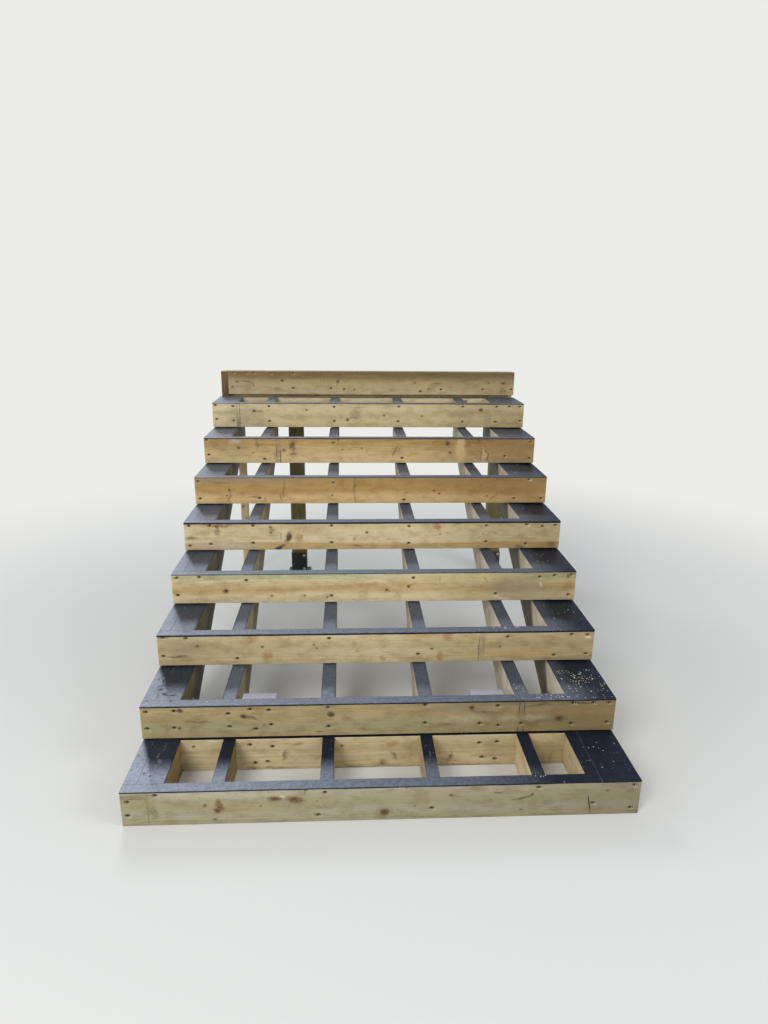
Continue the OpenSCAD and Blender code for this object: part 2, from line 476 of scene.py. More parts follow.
def leaned_axes(here, low, high, grain, slope):
    """The place from a corner of the board, turned until the slope lies level."""
    corner = Vector((0.0 if grain == "X" else (low.x + high.x) / 2, low.y, low.z))
    return split(add_node(tree_of(here), "ShaderNodeVectorRotate",
                          {"Vector": here - corner, "Angle": -slope}, rotation_type="X_AXIS"))


def painted_shade_under_next_step(here, waver):
    """A mask of the part of a stringer that is in painted shadow under the next step."""
    axes = split(here)
    steps = (axes["Y"] - (FIRST_LOW.y + BOARD)) / GOING
    storey = calc("FLOOR", steps)
    below = storey * RISE + FIRST_HIGH.z - axes["Z"]
    reach = steps - storey + below * (SHADE_EDGE_LEAN / GOING) + waver * 0.6
    return calc("MAXIMUM", fade(below, 0.09, 0.15), fade(reach, 0.88, 1.08))


print(f"going {GOING:.3f} m, rise {RISE:.3f} m, width {FLIGHT_WIDTH:.3f} m")

# %% [markdown]
# Knots, marks, the dark rims round screws, which are dirt and painted shade, sawn ends and rubbed
# edges each take the colour so far and give it back changed. Thin marks stay crisp. Broad ones
# follow a place that wanders, so that a stain has a ragged edge.

# %% Knots, marks and wear on a board
MM = 0.001
CRISP_BELOW = 4
CRISP_EDGE, RAGGED_EDGE = 0.45, 0.7
RIM_HALF, PALE_SPOT_HALF = (0.0102, 0.0064), (0.012, 0.006)


def knot_masks(place, knots):
    """The masks of a chain of knots, each with its place and radius in mm."""
    masks = dict.fromkeys(("Dark", "Body", "Halo", "Push"), 0.0)
    for x, z, size in knots:
        out = add_node(tree_of(place), "ShaderNodeGroup", {
            "Place": place, "Centre": (x * MM, z * MM, 0), "Size": size * MM, **masks}, node_tree=KNOT)
        masks = {name: out[name] for name in masks}
    return masks


def with_marks(colour, straight, loose, marks):
    for tone, spots in marks.items():
        mask = 0.0
        for x, z, half_x, half_z, angle, strength in spots:
            crisp = min(half_x, half_z) < CRISP_BELOW
            place, softness = (straight, CRISP_EDGE) if crisp else (loose, RAGGED_EDGE)
            mask = mark(mask, place, (x * MM, z * MM), (half_x * MM, half_z * MM),
                        -math.radians(angle), softness, strength)
        colour = mix(mask, colour, TONES[tone])
    return colour


def with_screw_rims(colour, straight, fine, screws, rim_tone):
    """A dark rim of dirt and painted shade on each screw's crater, and a pale spot beside it."""
    rim, pale_spot = 0.0, 0.0
    for x, z in screws:
        rim = mark(rim, straight, (x * MM, (z + 1) * MM), RIM_HALF, 0.0, 0.3, 0.95)
        pale_spot = mark(pale_spot, fine, ((x + 4) * MM, (z - 4) * MM), PALE_SPOT_HALF, 0.3, 0.5, 0.24)
    return mix(rim, mix(pale_spot, colour, TONES["cream"]), TONES[rim_tone])


def with_sawn_ends(colour, grain, slope, late_wood, end_tone):
    """End grain where the face looks along the board."""
    course = {"X": (1, 0, 0), "Z": (0, 0, 1), "Y": (0, math.cos(slope), math.sin(slope))}[grain]
    facing = add_node(tree_of(colour), "ShaderNodeNewGeometry")["Normal"]
    sawn = fade(abs(calc("DOT_PRODUCT", facing, course)), 0.35, 0.85)
    return mix(sawn, colour, mix(late_wood * 0.5, TONES[end_tone], TONES["umber"]))


def with_rubbed_edges(colour, here, low, high):
    edge = add_node(tree_of(here), "ShaderNodeGroup", {
        "From Centre": here - (low + high) / 2, "Half Size": (high - low) / 2, "Width": 0.0045},
        node_tree=EDGE)
    return mix(edge * 0.6, colour, RUBBED, "MULTIPLY")


print("marks below", CRISP_BELOW, "mm are crisp")

# %% [markdown]
# One function puts it all together. Colours first: the tones across the board, then painted light
# and shade along it and up it, then clouds, mottling, flecks, rings and fibres. Then come marks,
# knots and screws, and last the ends, the edges and the bump. A board along Y is a joist or a
# stringer, and its painted shade runs across the flight.

# %% Timber finish
EVEN = ((0, 1.0), (1, 1.0))
STRINGER_FACE = 0.25
WANDERS = ((0.003, 0.003, 0), (0.010, 0.008, 0), (0.05, 0.022, 0))


def timber(name, low, high, tones, pith, seed, grain="X", slope=0.0, ring=0.0055, painted_shade=EVEN, rise=EVEN,
           warmth=0.25, under_step_shade_tone=None, knots=(), marks=None, screws=(), rim_tone="brown",
           end_tone="straw"):
    """A timber material for a piece that fills the box from low to high, in metres."""
    material, here = new_material(name)
    axes = leaned_axes(here, low, high, grain, slope)
    along, depth, across = (axes[i] for i in ORDERS[grain])
    seeded = vector(along, depth, across) + (seed, 0, 0)
    drift = noise(seeded, 26.0, 3)["Color"] - (0.5, 0.5, 0.5)
    face = vector(along, across)
    straight, fine, loose = (face + drift * amount for amount in WANDERS)
    masks = knot_masks(fine, knots)
    grown = add_node(material.node_tree, "ShaderNodeGroup", {
        "Along Depth Across": seeded - vector(z=masks["Push"]) if knots else seeded,
        "Pith": pith, "Ring Width": ring, "Wander": 0.05}, node_tree=GRAIN)

    width, course, length, start = {
        "X": (high.z - low.z, along, high.x - low.x, 0.5),
        "Y": (STRINGER_FACE, axes["X"], FLIGHT_WIDTH, 0.5),
        "Z": (high.x - low.x, along, high.z - low.z, 0.0)}[grain]
    waver = (grown["Cloud"] - 0.5) * 0.35
    level = across / width + waver
    colour = ramp(level, tones)
    # Painted shadow under the next step, in a tone of its own.
    if under_step_shade_tone:
        colour = mix(painted_shade_under_next_step(here, waver), colour, TONES[under_step_shade_tone])
    # Painted light and shade, first along the board, then up its face.
    colour = mix(1.0, colour, ramp(course / length + start, painted_shade), "MULTIPLY")
    colour = mix(1.0, colour, ramp(level, rise), "MULTIPLY")
    colour = mix(fade(grown["Cloud"], 0.5, 0.75, 0, warmth), colour, TONES["amber"])
    colour = mix(fade(grown["Mottle"], 0.42, 0.66, 0, 0.66), colour, MOTTLED, "MULTIPLY")
    colour = mix(grown["Fleck"] * 0.45, colour, TONES["brown"])
    colour = mix(grown["Late Wood"] * 0.30, colour, LATE_WOOD, "MULTIPLY")
    colour = mix(fade(grown["Fibre"], 0.35, 0.75, 0, 0.22), colour, FIBROUS, "MULTIPLY")

    colour = with_marks(colour, straight, loose, marks or {})
    height = grown["Fibre"] * 0.6 + grown["Late Wood"] * 0.35
    if knots:
        colour = mix(masks["Halo"] * 0.35, colour, KNOT_HALO, "MULTIPLY")
        colour = mix(masks["Body"] * 0.75, colour, TONES["knot"])
        colour = mix(masks["Dark"], colour, TONES["bark"])
        height = height + masks["Body"] * 0.8
    if screws:
        colour = with_screw_rims(colour, straight, fine, screws, rim_tone)
    colour = with_sawn_ends(colour, grain, slope, grown["Late Wood"], end_tone)
    if grain != "Y":
        colour = with_rubbed_edges(colour, here, low, high)
    coat(colour, fade(grown["Fibre"], 0.2, 0.8, 0.55, 0.72), height, 0.5, 0.0006, {"IOR": 1.45})
    return material


print("timber finish ready")

# %% [markdown]
# Every board that faces the camera has its own marks. They were read off square-on views of the
# boards, in millimetres: x from the middle of the flight, z from the foot of the board.
# Screws are x and z. Knots add a radius. Marks go by tone, and each is a place, two half sizes,
# a turn in degrees and a strength. The screws keep to the boards behind them, as they do on a
# real flight. Each board also has painted light and shade along it and up its face, and most are
# painted darker towards their right ends.

# %% Boards one and two
BOARDS = {
    "riser_board_1": dict(
        rim_tone="bark", warmth=0.1,
        tones=((0, "olive"), (0.3, "sage"), (0.55, "olive"), (1, "sage")),
        painted_shade=((0, 0.88), (0.4, 0.88), (0.7, 0.8), (1, 0.62)),
        rise=((0, 1.04), (0.5, 1.05), (1, 1.12)),
        screws=((-926, 103), (-929, 45), (-826, 129), (-218, 126), (-244, 29), (173, 47), (566, 126),
                (775, 52), (924, 127), (919, 28)),
        knots=((-651, 82, 5), (-608, 57, 9), (-401, 103, 8), (-328, 100, 8), (-617, 21, 5), (-1, 35, 13),
               (242, 100, 6), (-451, 74, 3), (109, 58, 3), (505, 31, 4), (823, 106, 5), (-245, 90, 3)),
        marks={
            "moss": ((-885, 124, 62, 13, 0, 0.6), (-833, 53, 12, 24, 0, 0.59),
                     (-289, 132, 5, 14, 0, 0.78), (-422, 138, 3, 9, 0, 0.65), (81, 139, 7, 7, -35, 0.91),
                     (334, 134, 16, 12, 0, 0.39), (838, 66, 26, 6, 20, 0.52), (-1, 33, 26, 18, 20, 0.45)),
            "brown": ((-905, 120, 34, 8, 0, 0.3), (-601, 82, 12, 24, 10, 0.85),
                      (-401, 103, 24, 9, 0, 0.9), (-325, 96, 30, 13, -15, 0.85),
                      (912, 104, 12, 6, 20, 0.78)),
            "lime": ((-854, 72, 3.6, 75, 0, 0.8),),
            "grey": ((-357, 70, 16, 16, 20, 0.65), (-172, 85, 7, 14, 0, 0.65),
                     # The wide grey patch at the right end is painted shade.
                     (840, 70, 90, 60, 0, 0.45)),
            "chalk": ((-600, 122, 240, 14, 0, 0.2), (-372, 112, 10, 3, 0, 0.65)),
            "soot": ((416, 107, 18, 3, 5, 0.72), (508, 83, 36, 4, 14, 0.78), (540, 95, 12, 5, 30, 0.65),
                     (-230, 62, 30, 5, -20, 0.35)),
            "bark": ((761, 45, 2.4, 42, 11, 1.0),),
            "umber": ((-520, 60, 60, 4, 4, 0.4),)}),
    "riser_board_2": dict(
        rim_tone="bark", warmth=0.08,
        tones=((0, "straw"), (0.35, "lichen"), (0.6, "pale"), (1, "straw")),
        painted_shade=((0, 0.73), (0.45, 0.8), (0.72, 0.57), (1, 0.38)),
        rise=((0, 1.24), (0.3, 1.15), (0.52, 0.98), (1, 1.06)),
        screws=((-928, 121), (-929, 46), (-819, 123), (-823, 47), (-608, 108), (-605, 49), (-522, 126),
                (-448, 121), (-502, 37), (-441, 55), (-214, 128), (-213, 42), (173, 132), (175, 49),
                (468, 122), (474, 32), (397, 42), (568, 39), (775, 129), (858, 129), (922, 127),
                (774, 35), (922, 37)),
        knots=((-795, 126, 9), (-801, 45, 6), (-548, 94, 9), (-201, 96, 11), (362, 115, 9),
               (724, 59, 12)),
        marks={
            "brown": ((-728, 73, 48, 5, -4, 0.52), (-525, 90, 32, 7, -12, 0.65),
                      (-248, 18, 18, 3, 0, 0.59), (-66, 24, 16, 4, 0, 0.52), (455, 70, 26, 12, -12, 0.59),
                      (712, 62, 24, 14, -25, 0.52), (630, 46, 60, 10, 6, 0.4), (250, 38, 40, 8, 8, 0.35)),
            "rust": ((-489, 133, 11, 13, 0, 0.72), (362, 118, 34, 11, 0, 0.52)),
            "grey": ((-225, 104, 80, 14, 0, 0.45), (300, 118, 110, 9, 0, 0.72),
                     (520, 118, 120, 8, 2, 0.78)),
            # The wide umber patch at the right end is painted shade.
            "umber": ((-890, 84, 90, 22, 0, 0.4), (860, 70, 110, 60, 0, 0.45)),
            "pale": ((330, 66, 150, 16, 0, 0.3), (560, 66, 110, 14, 0, 0.3)),
            "moss": ((-136, 76, 26, 10, -20, 0.39), (731, 139, 25, 12, 0, 0.78)),
            "soot": ((-469, 54, 12, 7, 0, 0.45), (640, 124, 50, 6, 6, 0.59), (556, 112, 2.4, 34, 0, 1.0),
                     (577, 112, 2.4, 34, 0, 1.0), (556, 8, 2.4, 14, 0, 1.0), (577, 8, 2.4, 14, 0, 1.0),
                     (566, 90, 13, 50, 0, 0.29), (800, 129, 40, 4, -2, 0.78), (420, 96, 70, 6, -3, 0.4))}),
}
print(len(BOARDS), "boards so far")

# %% [markdown]
# The third and fourth boards are paler. The third has rusty blotches and a pair of strap lines
# on its right half, and the fourth has pale scrapes there.

# %% Boards three and four
BOARDS.update({
    "riser_board_3": dict(
        warmth=0.15,
        tones=((0, "pale"), (0.4, "cream"), (0.55, "pale"), (1, "cream")),
        painted_shade=((0, 0.7), (0.25, 0.84), (0.5, 0.92), (0.8, 0.68), (1, 0.6)),
        rise=((0, 1.1), (0.5, 1.02), (1, 1.14)),
        screws=((-828, 129), (-928, 46), (-925, 134), (-613, 30), (-215, 121), (172, 40), (565, 118),
                (848, 125), (919, 124), (776, 26), (920, 31)),
        knots=((-780, 92, 6), (-504, 84, 5), (-281, 92, 4), (-269, 75, 4), (232, 65, 5), (534, 71, 4)),
        marks={
            "rust": ((-548, 128, 24, 20, 0, 0.65), (-486, 36, 17, 22, 20, 0.65),
                     (-104, 95, 9, 8, 0, 0.45), (-92, 57, 8, 5, 0, 0.45), (299, 128, 19, 24, 0, 0.72),
                     (269, 27, 12, 22, 0, 0.72), (21, 22, 12, 12, 0, 0.52), (725, 40, 14, 12, 0, 0.52)),
            "brown": ((-866, 44, 42, 6, 4, 0.72), (-745, 141, 46, 3, 0, 0.65)),
            "moss": ((-925, 134, 16, 5, 0, 0.78),),
            "amber": ((200, 130, 80, 10, 0, 0.65), (600, 40, 240, 16, 0, 0.39)),
            "soot": ((440, 62, 2, 62, 0, 0.72), (462, 74, 2, 40, 0, 0.52), (452, 80, 13, 60, 0, 0.21)),
            "grey": ((-840, 90, 90, 40, 0, 0.39),),
            "chalk": ((922, 112, 12, 8, 0, 0.59),)}),
    "riser_board_4": dict(
        tones=((0, "cream"), (0.25, "cream"), (0.45, "honey"), (0.72, "pale"), (0.84, "lichen"),
               (1, "lichen")),
        painted_shade=((0, 0.92), (0.35, 1.04), (0.6, 1.08), (0.75, 0.8), (1, 0.66)),
        rise=((0, 0.99), (0.35, 1.02), (0.6, 1.09), (1, 1.18)),
        screws=((-926, 129), (-823, 132), (-607, 114), (-926, 42), (-212, 33), (173, 119), (568, 36),
                (775, 119), (846, 127), (926, 129), (919, 27)),
        knots=((-700, 62, 9), (48, 61, 7), (152, 77, 7), (-489, 36, 4), (-338, 35, 4), (-231, 26, 4),
               (299, 112, 3)),
        marks={
            "brown": ((519, 113, 18, 4, -35, 0.59),),
            "moss": ((-700, 62, 18, 12, 0, 0.65), (-147, 142, 5, 6, 0, 0.65),
                     (-480, 143, 40, 3, 0, 0.52)),
            "rust": ((166, 84, 14, 8, 25, 0.52),),
            "soot": ((909, 122, 7, 10, 0, 0.78),),
            "chalk": ((784, 82, 5, 12, 20, 0.78), (600, 13, 34, 5, -14, 0.72)),
            # The wide grey patch towards the right end is painted shade.
            "grey": ((660, 72, 120, 60, 0, 0.52),),
            "gold": ((330, 124, 300, 20, 0, 0.45),),
            "umber": ((-80, 82, 220, 12, 2, 0.33),)}),
})
print(len(BOARDS), "boards so far")

# %% [markdown]
# The fifth board has one big dark knot left of the middle, with a crack beside it.
# The sixth is the most orange of all, with a grey haze along its top on the left.

# %% Boards five and six
BOARDS.update({
    "riser_board_5": dict(
        warmth=0.15,
        tones=((0, "honey"), (0.2, "honey"), (0.27, "cream"), (0.72, "cream"), (0.86, "pale"),
               (1, "honey")),
        painted_shade=((0, 0.94), (0.3, 1.0), (0.6, 1.0), (0.8, 0.74), (1, 0.64)),
        rise=((0, 1.1), (0.3, 1.04), (0.5, 1.0), (1, 1.05)),
        screws=((-925, 128), (-823, 128), (-608, 128), (-216, 126), (-925, 24), (-821, 32), (-610, 37),
                (-216, 36), (175, 121), (569, 122), (776, 127), (857, 118), (923, 123), (174, 31),
                (571, 36), (776, 24)),
        knots=((-789, 124, 7), (-430, 68, 11), (-38, 89, 6), (-521, 118, 4), (-520, 90, 5), (334, 79, 4),
               (555, 79, 3)),
        marks={
            "brown": ((-770, 126, 70, 6, 0, 0.59), (-784, 100, 10, 26, 0, 0.45),
                      (-101, 55, 5, 12, -20, 0.52), (-88, 19, 24, 3.8, -10, 0.59),
                      (-520, 110, 15, 14, 0, 0.5), (-516, 74, 30, 3, 0, 0.45), (-470, 76, 3, 40, 0, 0.39),
                      (616, 82, 14, 2, -45, 0.65), (534, 61, 10, 2, 30, 0.52),
                      (908, 20, 18, 16, 0, 0.59)),
            "bark": ((-432, 66, 14, 28, -25, 0.78), (-478, 14, 30, 9, 22, 0.82)),
            "rust": ((-378, 65, 16, 16, 0, 0.59), (-330, 105, 90, 22, 0, 0.39),
                     (-860, 88, 26, 14, 0, 0.36), (316, 120, 14, 24, 35, 0.91)),
            "moss": ((-916, 62, 20, 9, 0, 0.78),),
            "linen": ((-760, 24, 160, 20, 0, 0.45),),
            "soot": ((745, 10, 22, 12, 0, 0.45),),
            "chalk": ((780, 120, 10, 6, 0, 0.55),)}),
    "riser_board_6": dict(
        tones=((0, "gold"), (0.32, "gold"), (0.48, "amber"), (1, "amber")),
        painted_shade=((0, 0.96), (0.3, 0.98), (0.6, 0.94), (0.8, 0.72), (1, 0.6)),
        rise=((0, 1.0), (0.65, 1.02), (1, 0.82)),
        screws=((-932, 124), (-926, 29), (-609, 31), (-212, 116), (171, 19), (775, 25), (925, 26),
                (852, 132)),
        knots=((-767, 75, 6), (334, 71, 6), (364, 54, 6), (-219, 45, 4), (-783, 45, 4), (625, 41, 5)),
        marks={
            "soot": ((-820, 116, 56, 6, -3, 0.62), (-880, 129, 40, 6, 0, 0.35)),
            "grey": ((-700, 128, 300, 20, 0, 0.4),),
            "rust": ((-560, 70, 90, 30, 0, 0.25), (480, 96, 60, 10, -12, 0.5), (700, 96, 20, 20, 0, 0.4),
                     (190, 62, 20, 8, 20, 0.52)),
            "brown": ((-478, 82, 3.8, 50, -6, 0.55), (-495, 32, 3.8, 18, 14, 0.5),
                      (-580, 22, 2, 18, 0, 0.65), (-93, 100, 6, 46, -5, 0.65),
                      (588, 100, 6, 26, 18, 0.35), (-640, 36, 32, 3, 0, 0.52), (-767, 50, 6, 40, 0, 0.52),
                      (925, 123, 14, 8, 0, 0.52)),
            "moss": ((662, 44, 5, 24, -30, 0.5),),
            "umber": ((-97, 32, 3, 32, 8, 0.78), (-70, 120, 24, 26, 0, 0.45), (660, 40, 4, 32, -35, 0.52),
                      # The wide umber patch at the right end is painted shade.
                      (450, 120, 220, 16, 0, 0.52), (860, 90, 100, 46, 0, 0.52)),
            "chalk": ((856, 128, 9, 6, 0, 0.5),)}),
})
print(len(BOARDS), "boards so far")

# %% [markdown]
# The seventh board has tall brown knots and a lighter stripe on its right. The eighth is pale,
# with two strap lines near its left end.

# %% Boards seven and eight
BOARDS.update({
    "riser_board_7": dict(
        tones=((0, "straw"), (0.36, "honey"), (0.6, "honey"), (0.84, "amber"), (1, "amber")),
        painted_shade=((0, 0.92), (0.3, 1.04), (0.6, 1.02), (0.8, 0.67), (1, 0.54)),
        rise=((0, 1.3), (0.35, 1.2), (0.55, 1.04), (0.8, 0.98), (1, 0.92)),
        screws=((-926, 49), (-936, 134), (-610, 23), (-217, 119), (179, 29), (779, 41), (925, 124),
                (925, 28)),
        knots=((-757, 89, 7), (-499, 76, 6), (-449, 109, 9), (443, 117, 9), (458, 61, 6), (624, 134, 6),
               (-54, 88, 4), (-675, 63, 4), (-163, 79, 4), (-189, 136, 5)),
        marks={
            "chalk": ((-781, 126, 30, 15, 0, 0.45),),
            "grey": ((-790, 80, 90, 40, 0, 0.22),),
            "umber": ((-840, 118, 120, 20, 0, 0.3), (150, 70, 30, 30, 0, 0.35), (350, 80, 60, 3, 0, 0.65),
                      # The wide umber patch at the right end is painted shade.
                      (850, 80, 110, 60, 0, 0.35), (-22, 66, 6, 16, -15, 0.45),
                      (860, 60, 40, 6, 45, 0.52)),
            "knot": ((-651, 110, 13, 26, 0, 0.7), (-449, 100, 18, 32, 0, 0.75),
                     (440, 118, 13, 24, 35, 0.7), (558, 117, 14, 20, -30, 0.65),
                     (622, 122, 20, 18, 0, 0.6)),
            "soot": ((-542, 66, 2.4, 55, 0, 0.72), (-520, 40, 2.8, 40, 0, 0.91),
                     (-531, 60, 18, 62, 0, 0.26)),
            "bark": ((-449, 106, 6, 14, 0, 0.3),),
            "brown": ((-448, 53, 17, 8, 0, 0.59), (131, 62, 4.5, 20, -12, 0.65),
                      (146, 88, 3, 14, -25, 0.65), (163, 78, 3, 16, -20, 0.52), (640, 45, 3, 44, 0, 0.7),
                      (676, 50, 4.5, 46, 12, 0.8)),
            "moss": ((-892, 103, 24, 18, 0, 0.39),),
            "honey": ((518, 72, 26, 80, 0, 1.0),),
            "straw": ((655, 42, 12, 40, 0, 0.5),)}),
    "riser_board_8": dict(
        warmth=0.15,
        tones=((0, "straw"), (0.35, "pale"), (0.55, "pale"), (0.75, "cream"), (1, "pale")),
        painted_shade=((0, 1.06), (0.3, 1.04), (0.65, 0.98), (0.85, 0.78), (1, 0.7)),
        rise=((0, 1.16), (0.3, 1.1), (0.5, 0.97), (1, 0.96)),
        screws=((-931, 133), (-826, 126), (-610, 126), (-216, 124), (-927, 48), (-826, 40), (-610, 37),
                (-216, 38), (178, 127), (572, 128), (781, 128), (859, 130), (924, 129), (174, 37),
                (572, 35), (776, 35), (931, 42)),
        knots=((-701, 100, 8), (-136, 46, 8), (684, 109, 10), (87, 73, 6), (322, 70, 5), (-384, 106, 5)),
        marks={
            "soot": ((-804, 72, 2.4, 80, 0, 0.65), (-787, 72, 2.4, 80, 0, 0.72),
                     (-796, 20, 13, 34, 0, 0.65)),
            "grey": ((-760, 60, 100, 60, 0, 0.39), (-751, 39, 18, 12, 0, 0.59),
                     (-89, 78, 32, 34, 0, 0.52), (730, 50, 20, 70, 0, 0.45)),
            "brown": ((-672, 98, 24, 7, 0, 0.52), (-95, 58, 26, 3, -8, 0.45)),
            "moss": ((560, 80, 60, 30, 0, 0.29), (880, 26, 60, 6, 0, 0.39)),
            "umber": ((110, 84, 40, 8, -10, 0.33),)}),
})
print(len(BOARDS), "boards so far")

# %% [markdown]
# The front board of the rim is the last riser. Along its top it has painted shade, the shadow that
# the deck boards above would cast: darker tones, a darker rise and a long soot band. The back
# board of the box is seen through the first step, its foot is stained, and its painted shade darkens
# it towards the right.

# %% Rim and back board
BOARDS.update({
    "deck_rim_front": dict(
        warmth=0.15,
        tones=((0, "cream"), (0.5, "straw"), (0.8, "khaki"), (1, "khaki")),
        painted_shade=((0, 0.82), (0.4, 0.86), (0.7, 0.8), (1, 0.72)),
        rise=((0, 1.0), (0.5, 1.06), (0.75, 0.9), (1, 0.78)),
        screws=((-863, 137), (-780, 136), (-736, 136), (-628, 133), (-486, 135), (-486, 40), (-242, 39),
                (-157, 33), (337, 22), (472, 35), (746, 37), (934, 38)),
        knots=((-554, 89, 8), (-196, 83, 7), (-872, 47, 5), (-842, 79, 6), (784, 79, 6), (878, 78, 9),
               (-92, 33, 5), (390, 38, 5), (299, 78, 5)),
        marks={
            "brown": ((-775, 82, 30, 5, -10, 0.78), (-742, 66, 14, 5, -45, 0.78),
                      (-196, 86, 8, 24, -10, 0.65), (-589, 37, 20, 9, 0, 0.52), (443, 72, 24, 8, 0, 0.45),
                      (-430, 104, 60, 7, -3, 0.4), (650, 96, 80, 8, 4, 0.4)),
            "moss": ((878, 29, 20, 18, 0, 0.59),),
            # The long soot band along the top is painted shadow.
            "soot": ((-310, 90, 2, 40, 0, 0.39), (-290, 90, 2, 40, 0, 0.39), (260, 128, 720, 24, 0, 0.32),
                     (240, 126, 90, 6, 2, 0.35)),
            "pale": ((-480, 74, 420, 22, 0, 0.2),),
            "umber": ((120, 84, 60, 4, 0, 0.39), (-60, 120, 120, 8, 0, 0.4))}),
    "box_back_board": dict(
        rim_tone="bark", warmth=0.15,
        tones=((0, "cream"), (0.52, "cream"), (0.6, "pale"), (0.75, "cream"), (1, "cream")),
        painted_shade=((0, 0.97), (0.3, 0.94), (0.5, 0.88), (0.72, 0.82), (1, 0.72)),
        screws=((-529, 118), (-439, 108), (-511, 33), (-461, 38), (400, 106), (473, 110), (415, 38),
                (468, 29)),
        knots=((-752, 115, 5), (-160, 105, 6), (282, 46, 4)),
        marks={
            "brown": ((-520, 10, 20, 8, 0, 0.65), (-392, 66, 9, 24, -25, 0.6), (47, 56, 7, 20, 25, 0.55),
                      (282, 42, 7, 28, -12, 0.52), (5, 18, 18, 15, 20, 0.7), (-420, 6, 60, 6, 0, 0.45),
                      (-90, 5, 200, 5, 0, 0.45), (300, 4, 200, 5, 0, 0.45)),
            "umber": ((-338, 116, 22, 6, 12, 0.6),),
            "rust": ((47, 111, 22, 12, 25, 0.59), (700, 30, 8, 30, 0, 0.45))}),
})
print(sum(len(board["screws"]) for board in BOARDS.values()), "screws on", len(BOARDS), "boards")

# %% [markdown]
# A planed board is a long box with its four long edges eased. The screws were driven hard and
# went in below the face, so each one sits in a small crater. The craters are real: cones that a
# Boolean modifier takes out of the board, so they stay in its mesh.

# %% Shapes for boards and craters
EASE = 0.0028
CRATER_TOP, CRATER_FOOT, CRATER_DEPTH = 0.0068, 0.0050, 0.0036
LIP = 0.001


def planed_board(name, low, high):
    """A closed box with only the edges that run along X rounded."""
    shape = bmesh.new()
    bmesh.ops.create_cube(shape, size=1.0)
    bmesh.ops.scale(shape, vec=high - low, verts=shape.verts)
    bmesh.ops.translate(shape, vec=(low + high) / 2, verts=shape.verts)
    edges = [e for e in shape.edges if abs((e.verts[1].co - e.verts[0].co).normalized().x) > 0.9]
    bmesh.ops.bevel(shape, geom=edges, offset=EASE, segments=3, affect="EDGES", profile=0.5)
    bmesh.ops.recalc_face_normals(shape, faces=shape.faces)
    return piece_from_shape(name, shape)


def crater_cutter(points, face_y):
    """Cones that point into a board whose face lies at face_y, and that start a lip before it."""
    shape = bmesh.new()
    spread = (CRATER_TOP - CRATER_FOOT) / CRATER_DEPTH * LIP
    flip = Matrix.Rotation(math.radians(90), 4, "X")
    for x, z in points:
        cone = bmesh.ops.create_cone(shape, cap_ends=True, segments=20, radius1=CRATER_FOOT,
                                     radius2=CRATER_TOP + spread, depth=CRATER_DEPTH + LIP)
        middle = Vector((x, face_y + (CRATER_DEPTH - LIP) / 2, z))
        bmesh.ops.transform(shape, matrix=Matrix.Translation(middle) @ flip, verts=cone["verts"])
    return piece_from_shape("cutter", shape)


def settle(piece):
    """Turns a piece with modifiers into a plain mesh."""
    depsgraph = bpy.context.evaluated_depsgraph_get()
    plain_mesh = bpy.data.meshes.new_from_object(piece.evaluated_get(depsgraph))
    piece.modifiers.clear()
    piece.data = plain_mesh
    return piece


def smooth_by_angle(piece, degrees=32):
    piece.data.polygons.foreach_set("use_smooth", [True] * len(piece.data.polygons))
    piece.data.set_sharp_from_angle(angle=math.radians(degrees))


print("a crater is", 1000 * CRATER_DEPTH, "mm deep")

# %% [markdown]
# Each board gets its own seed, and its own pith, the heart of the tree that it was sawn from. So
# no two boards show the same rings.

# %% Boards on the flight
HEAD_ABOVE_CRATER_FLOOR = 0.0010
screw_places = []
for name, board in BOARDS.items():
    low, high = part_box(name)
    low.y = high.y - BOARD
    piece = planed_board(name + "_planed", low, high)
    holes = [(x * MM, low.z + z * MM) for x, z in board["screws"]]
    cutter = crater_cutter(holes, low.y)
    cut = piece.modifiers.new("craters", "BOOLEAN")
    cut.object = cutter
    cut.operation = "DIFFERENCE"
    cut.solver = "EXACT"
    settle(piece)
    bpy.data.objects.remove(cutter)
    smooth_by_angle(piece)
    seed = len(screw_places) * 0.37 + 3
    pith = (0, 0.03 + 0.05 * math.sin(seed), 0.07 + 0.07 * math.cos(seed))
    dress(piece, timber(name + "_timber", low, high, seed=seed, pith=pith, **board))
    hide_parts(name)
    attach(piece, "root")
    head_y = low.y + CRATER_DEPTH - HEAD_ABOVE_CRATER_FLOOR
    screw_places += [(Vector((x, head_y, z)), Vector((0, -1, 0))) for x, z in holes]
    print(name, len(piece.data.polygons), "faces,", len(holes), "craters")

# %% [markdown]
# The screws repeat, so Geometry Nodes sets them. One head is drawn once, with its star recess.
# The tree puts it on every point, turns it to the face, spins it at random with a fixed seed and
# makes the copies real, because the export drops instances. Its named inputs can be changed.

# %% Geometry Nodes for driven screws and bolts
def made_real(instances, material):
    """The last nodes of a Geometry Nodes tree."""
    tree = tree_of(instances)
    real = add_node(tree, "GeometryNodeRealizeInstances", {"Geometry": instances})
    return add_node(tree, "GeometryNodeSetMaterial", {"Geometry": real, "Material": material})


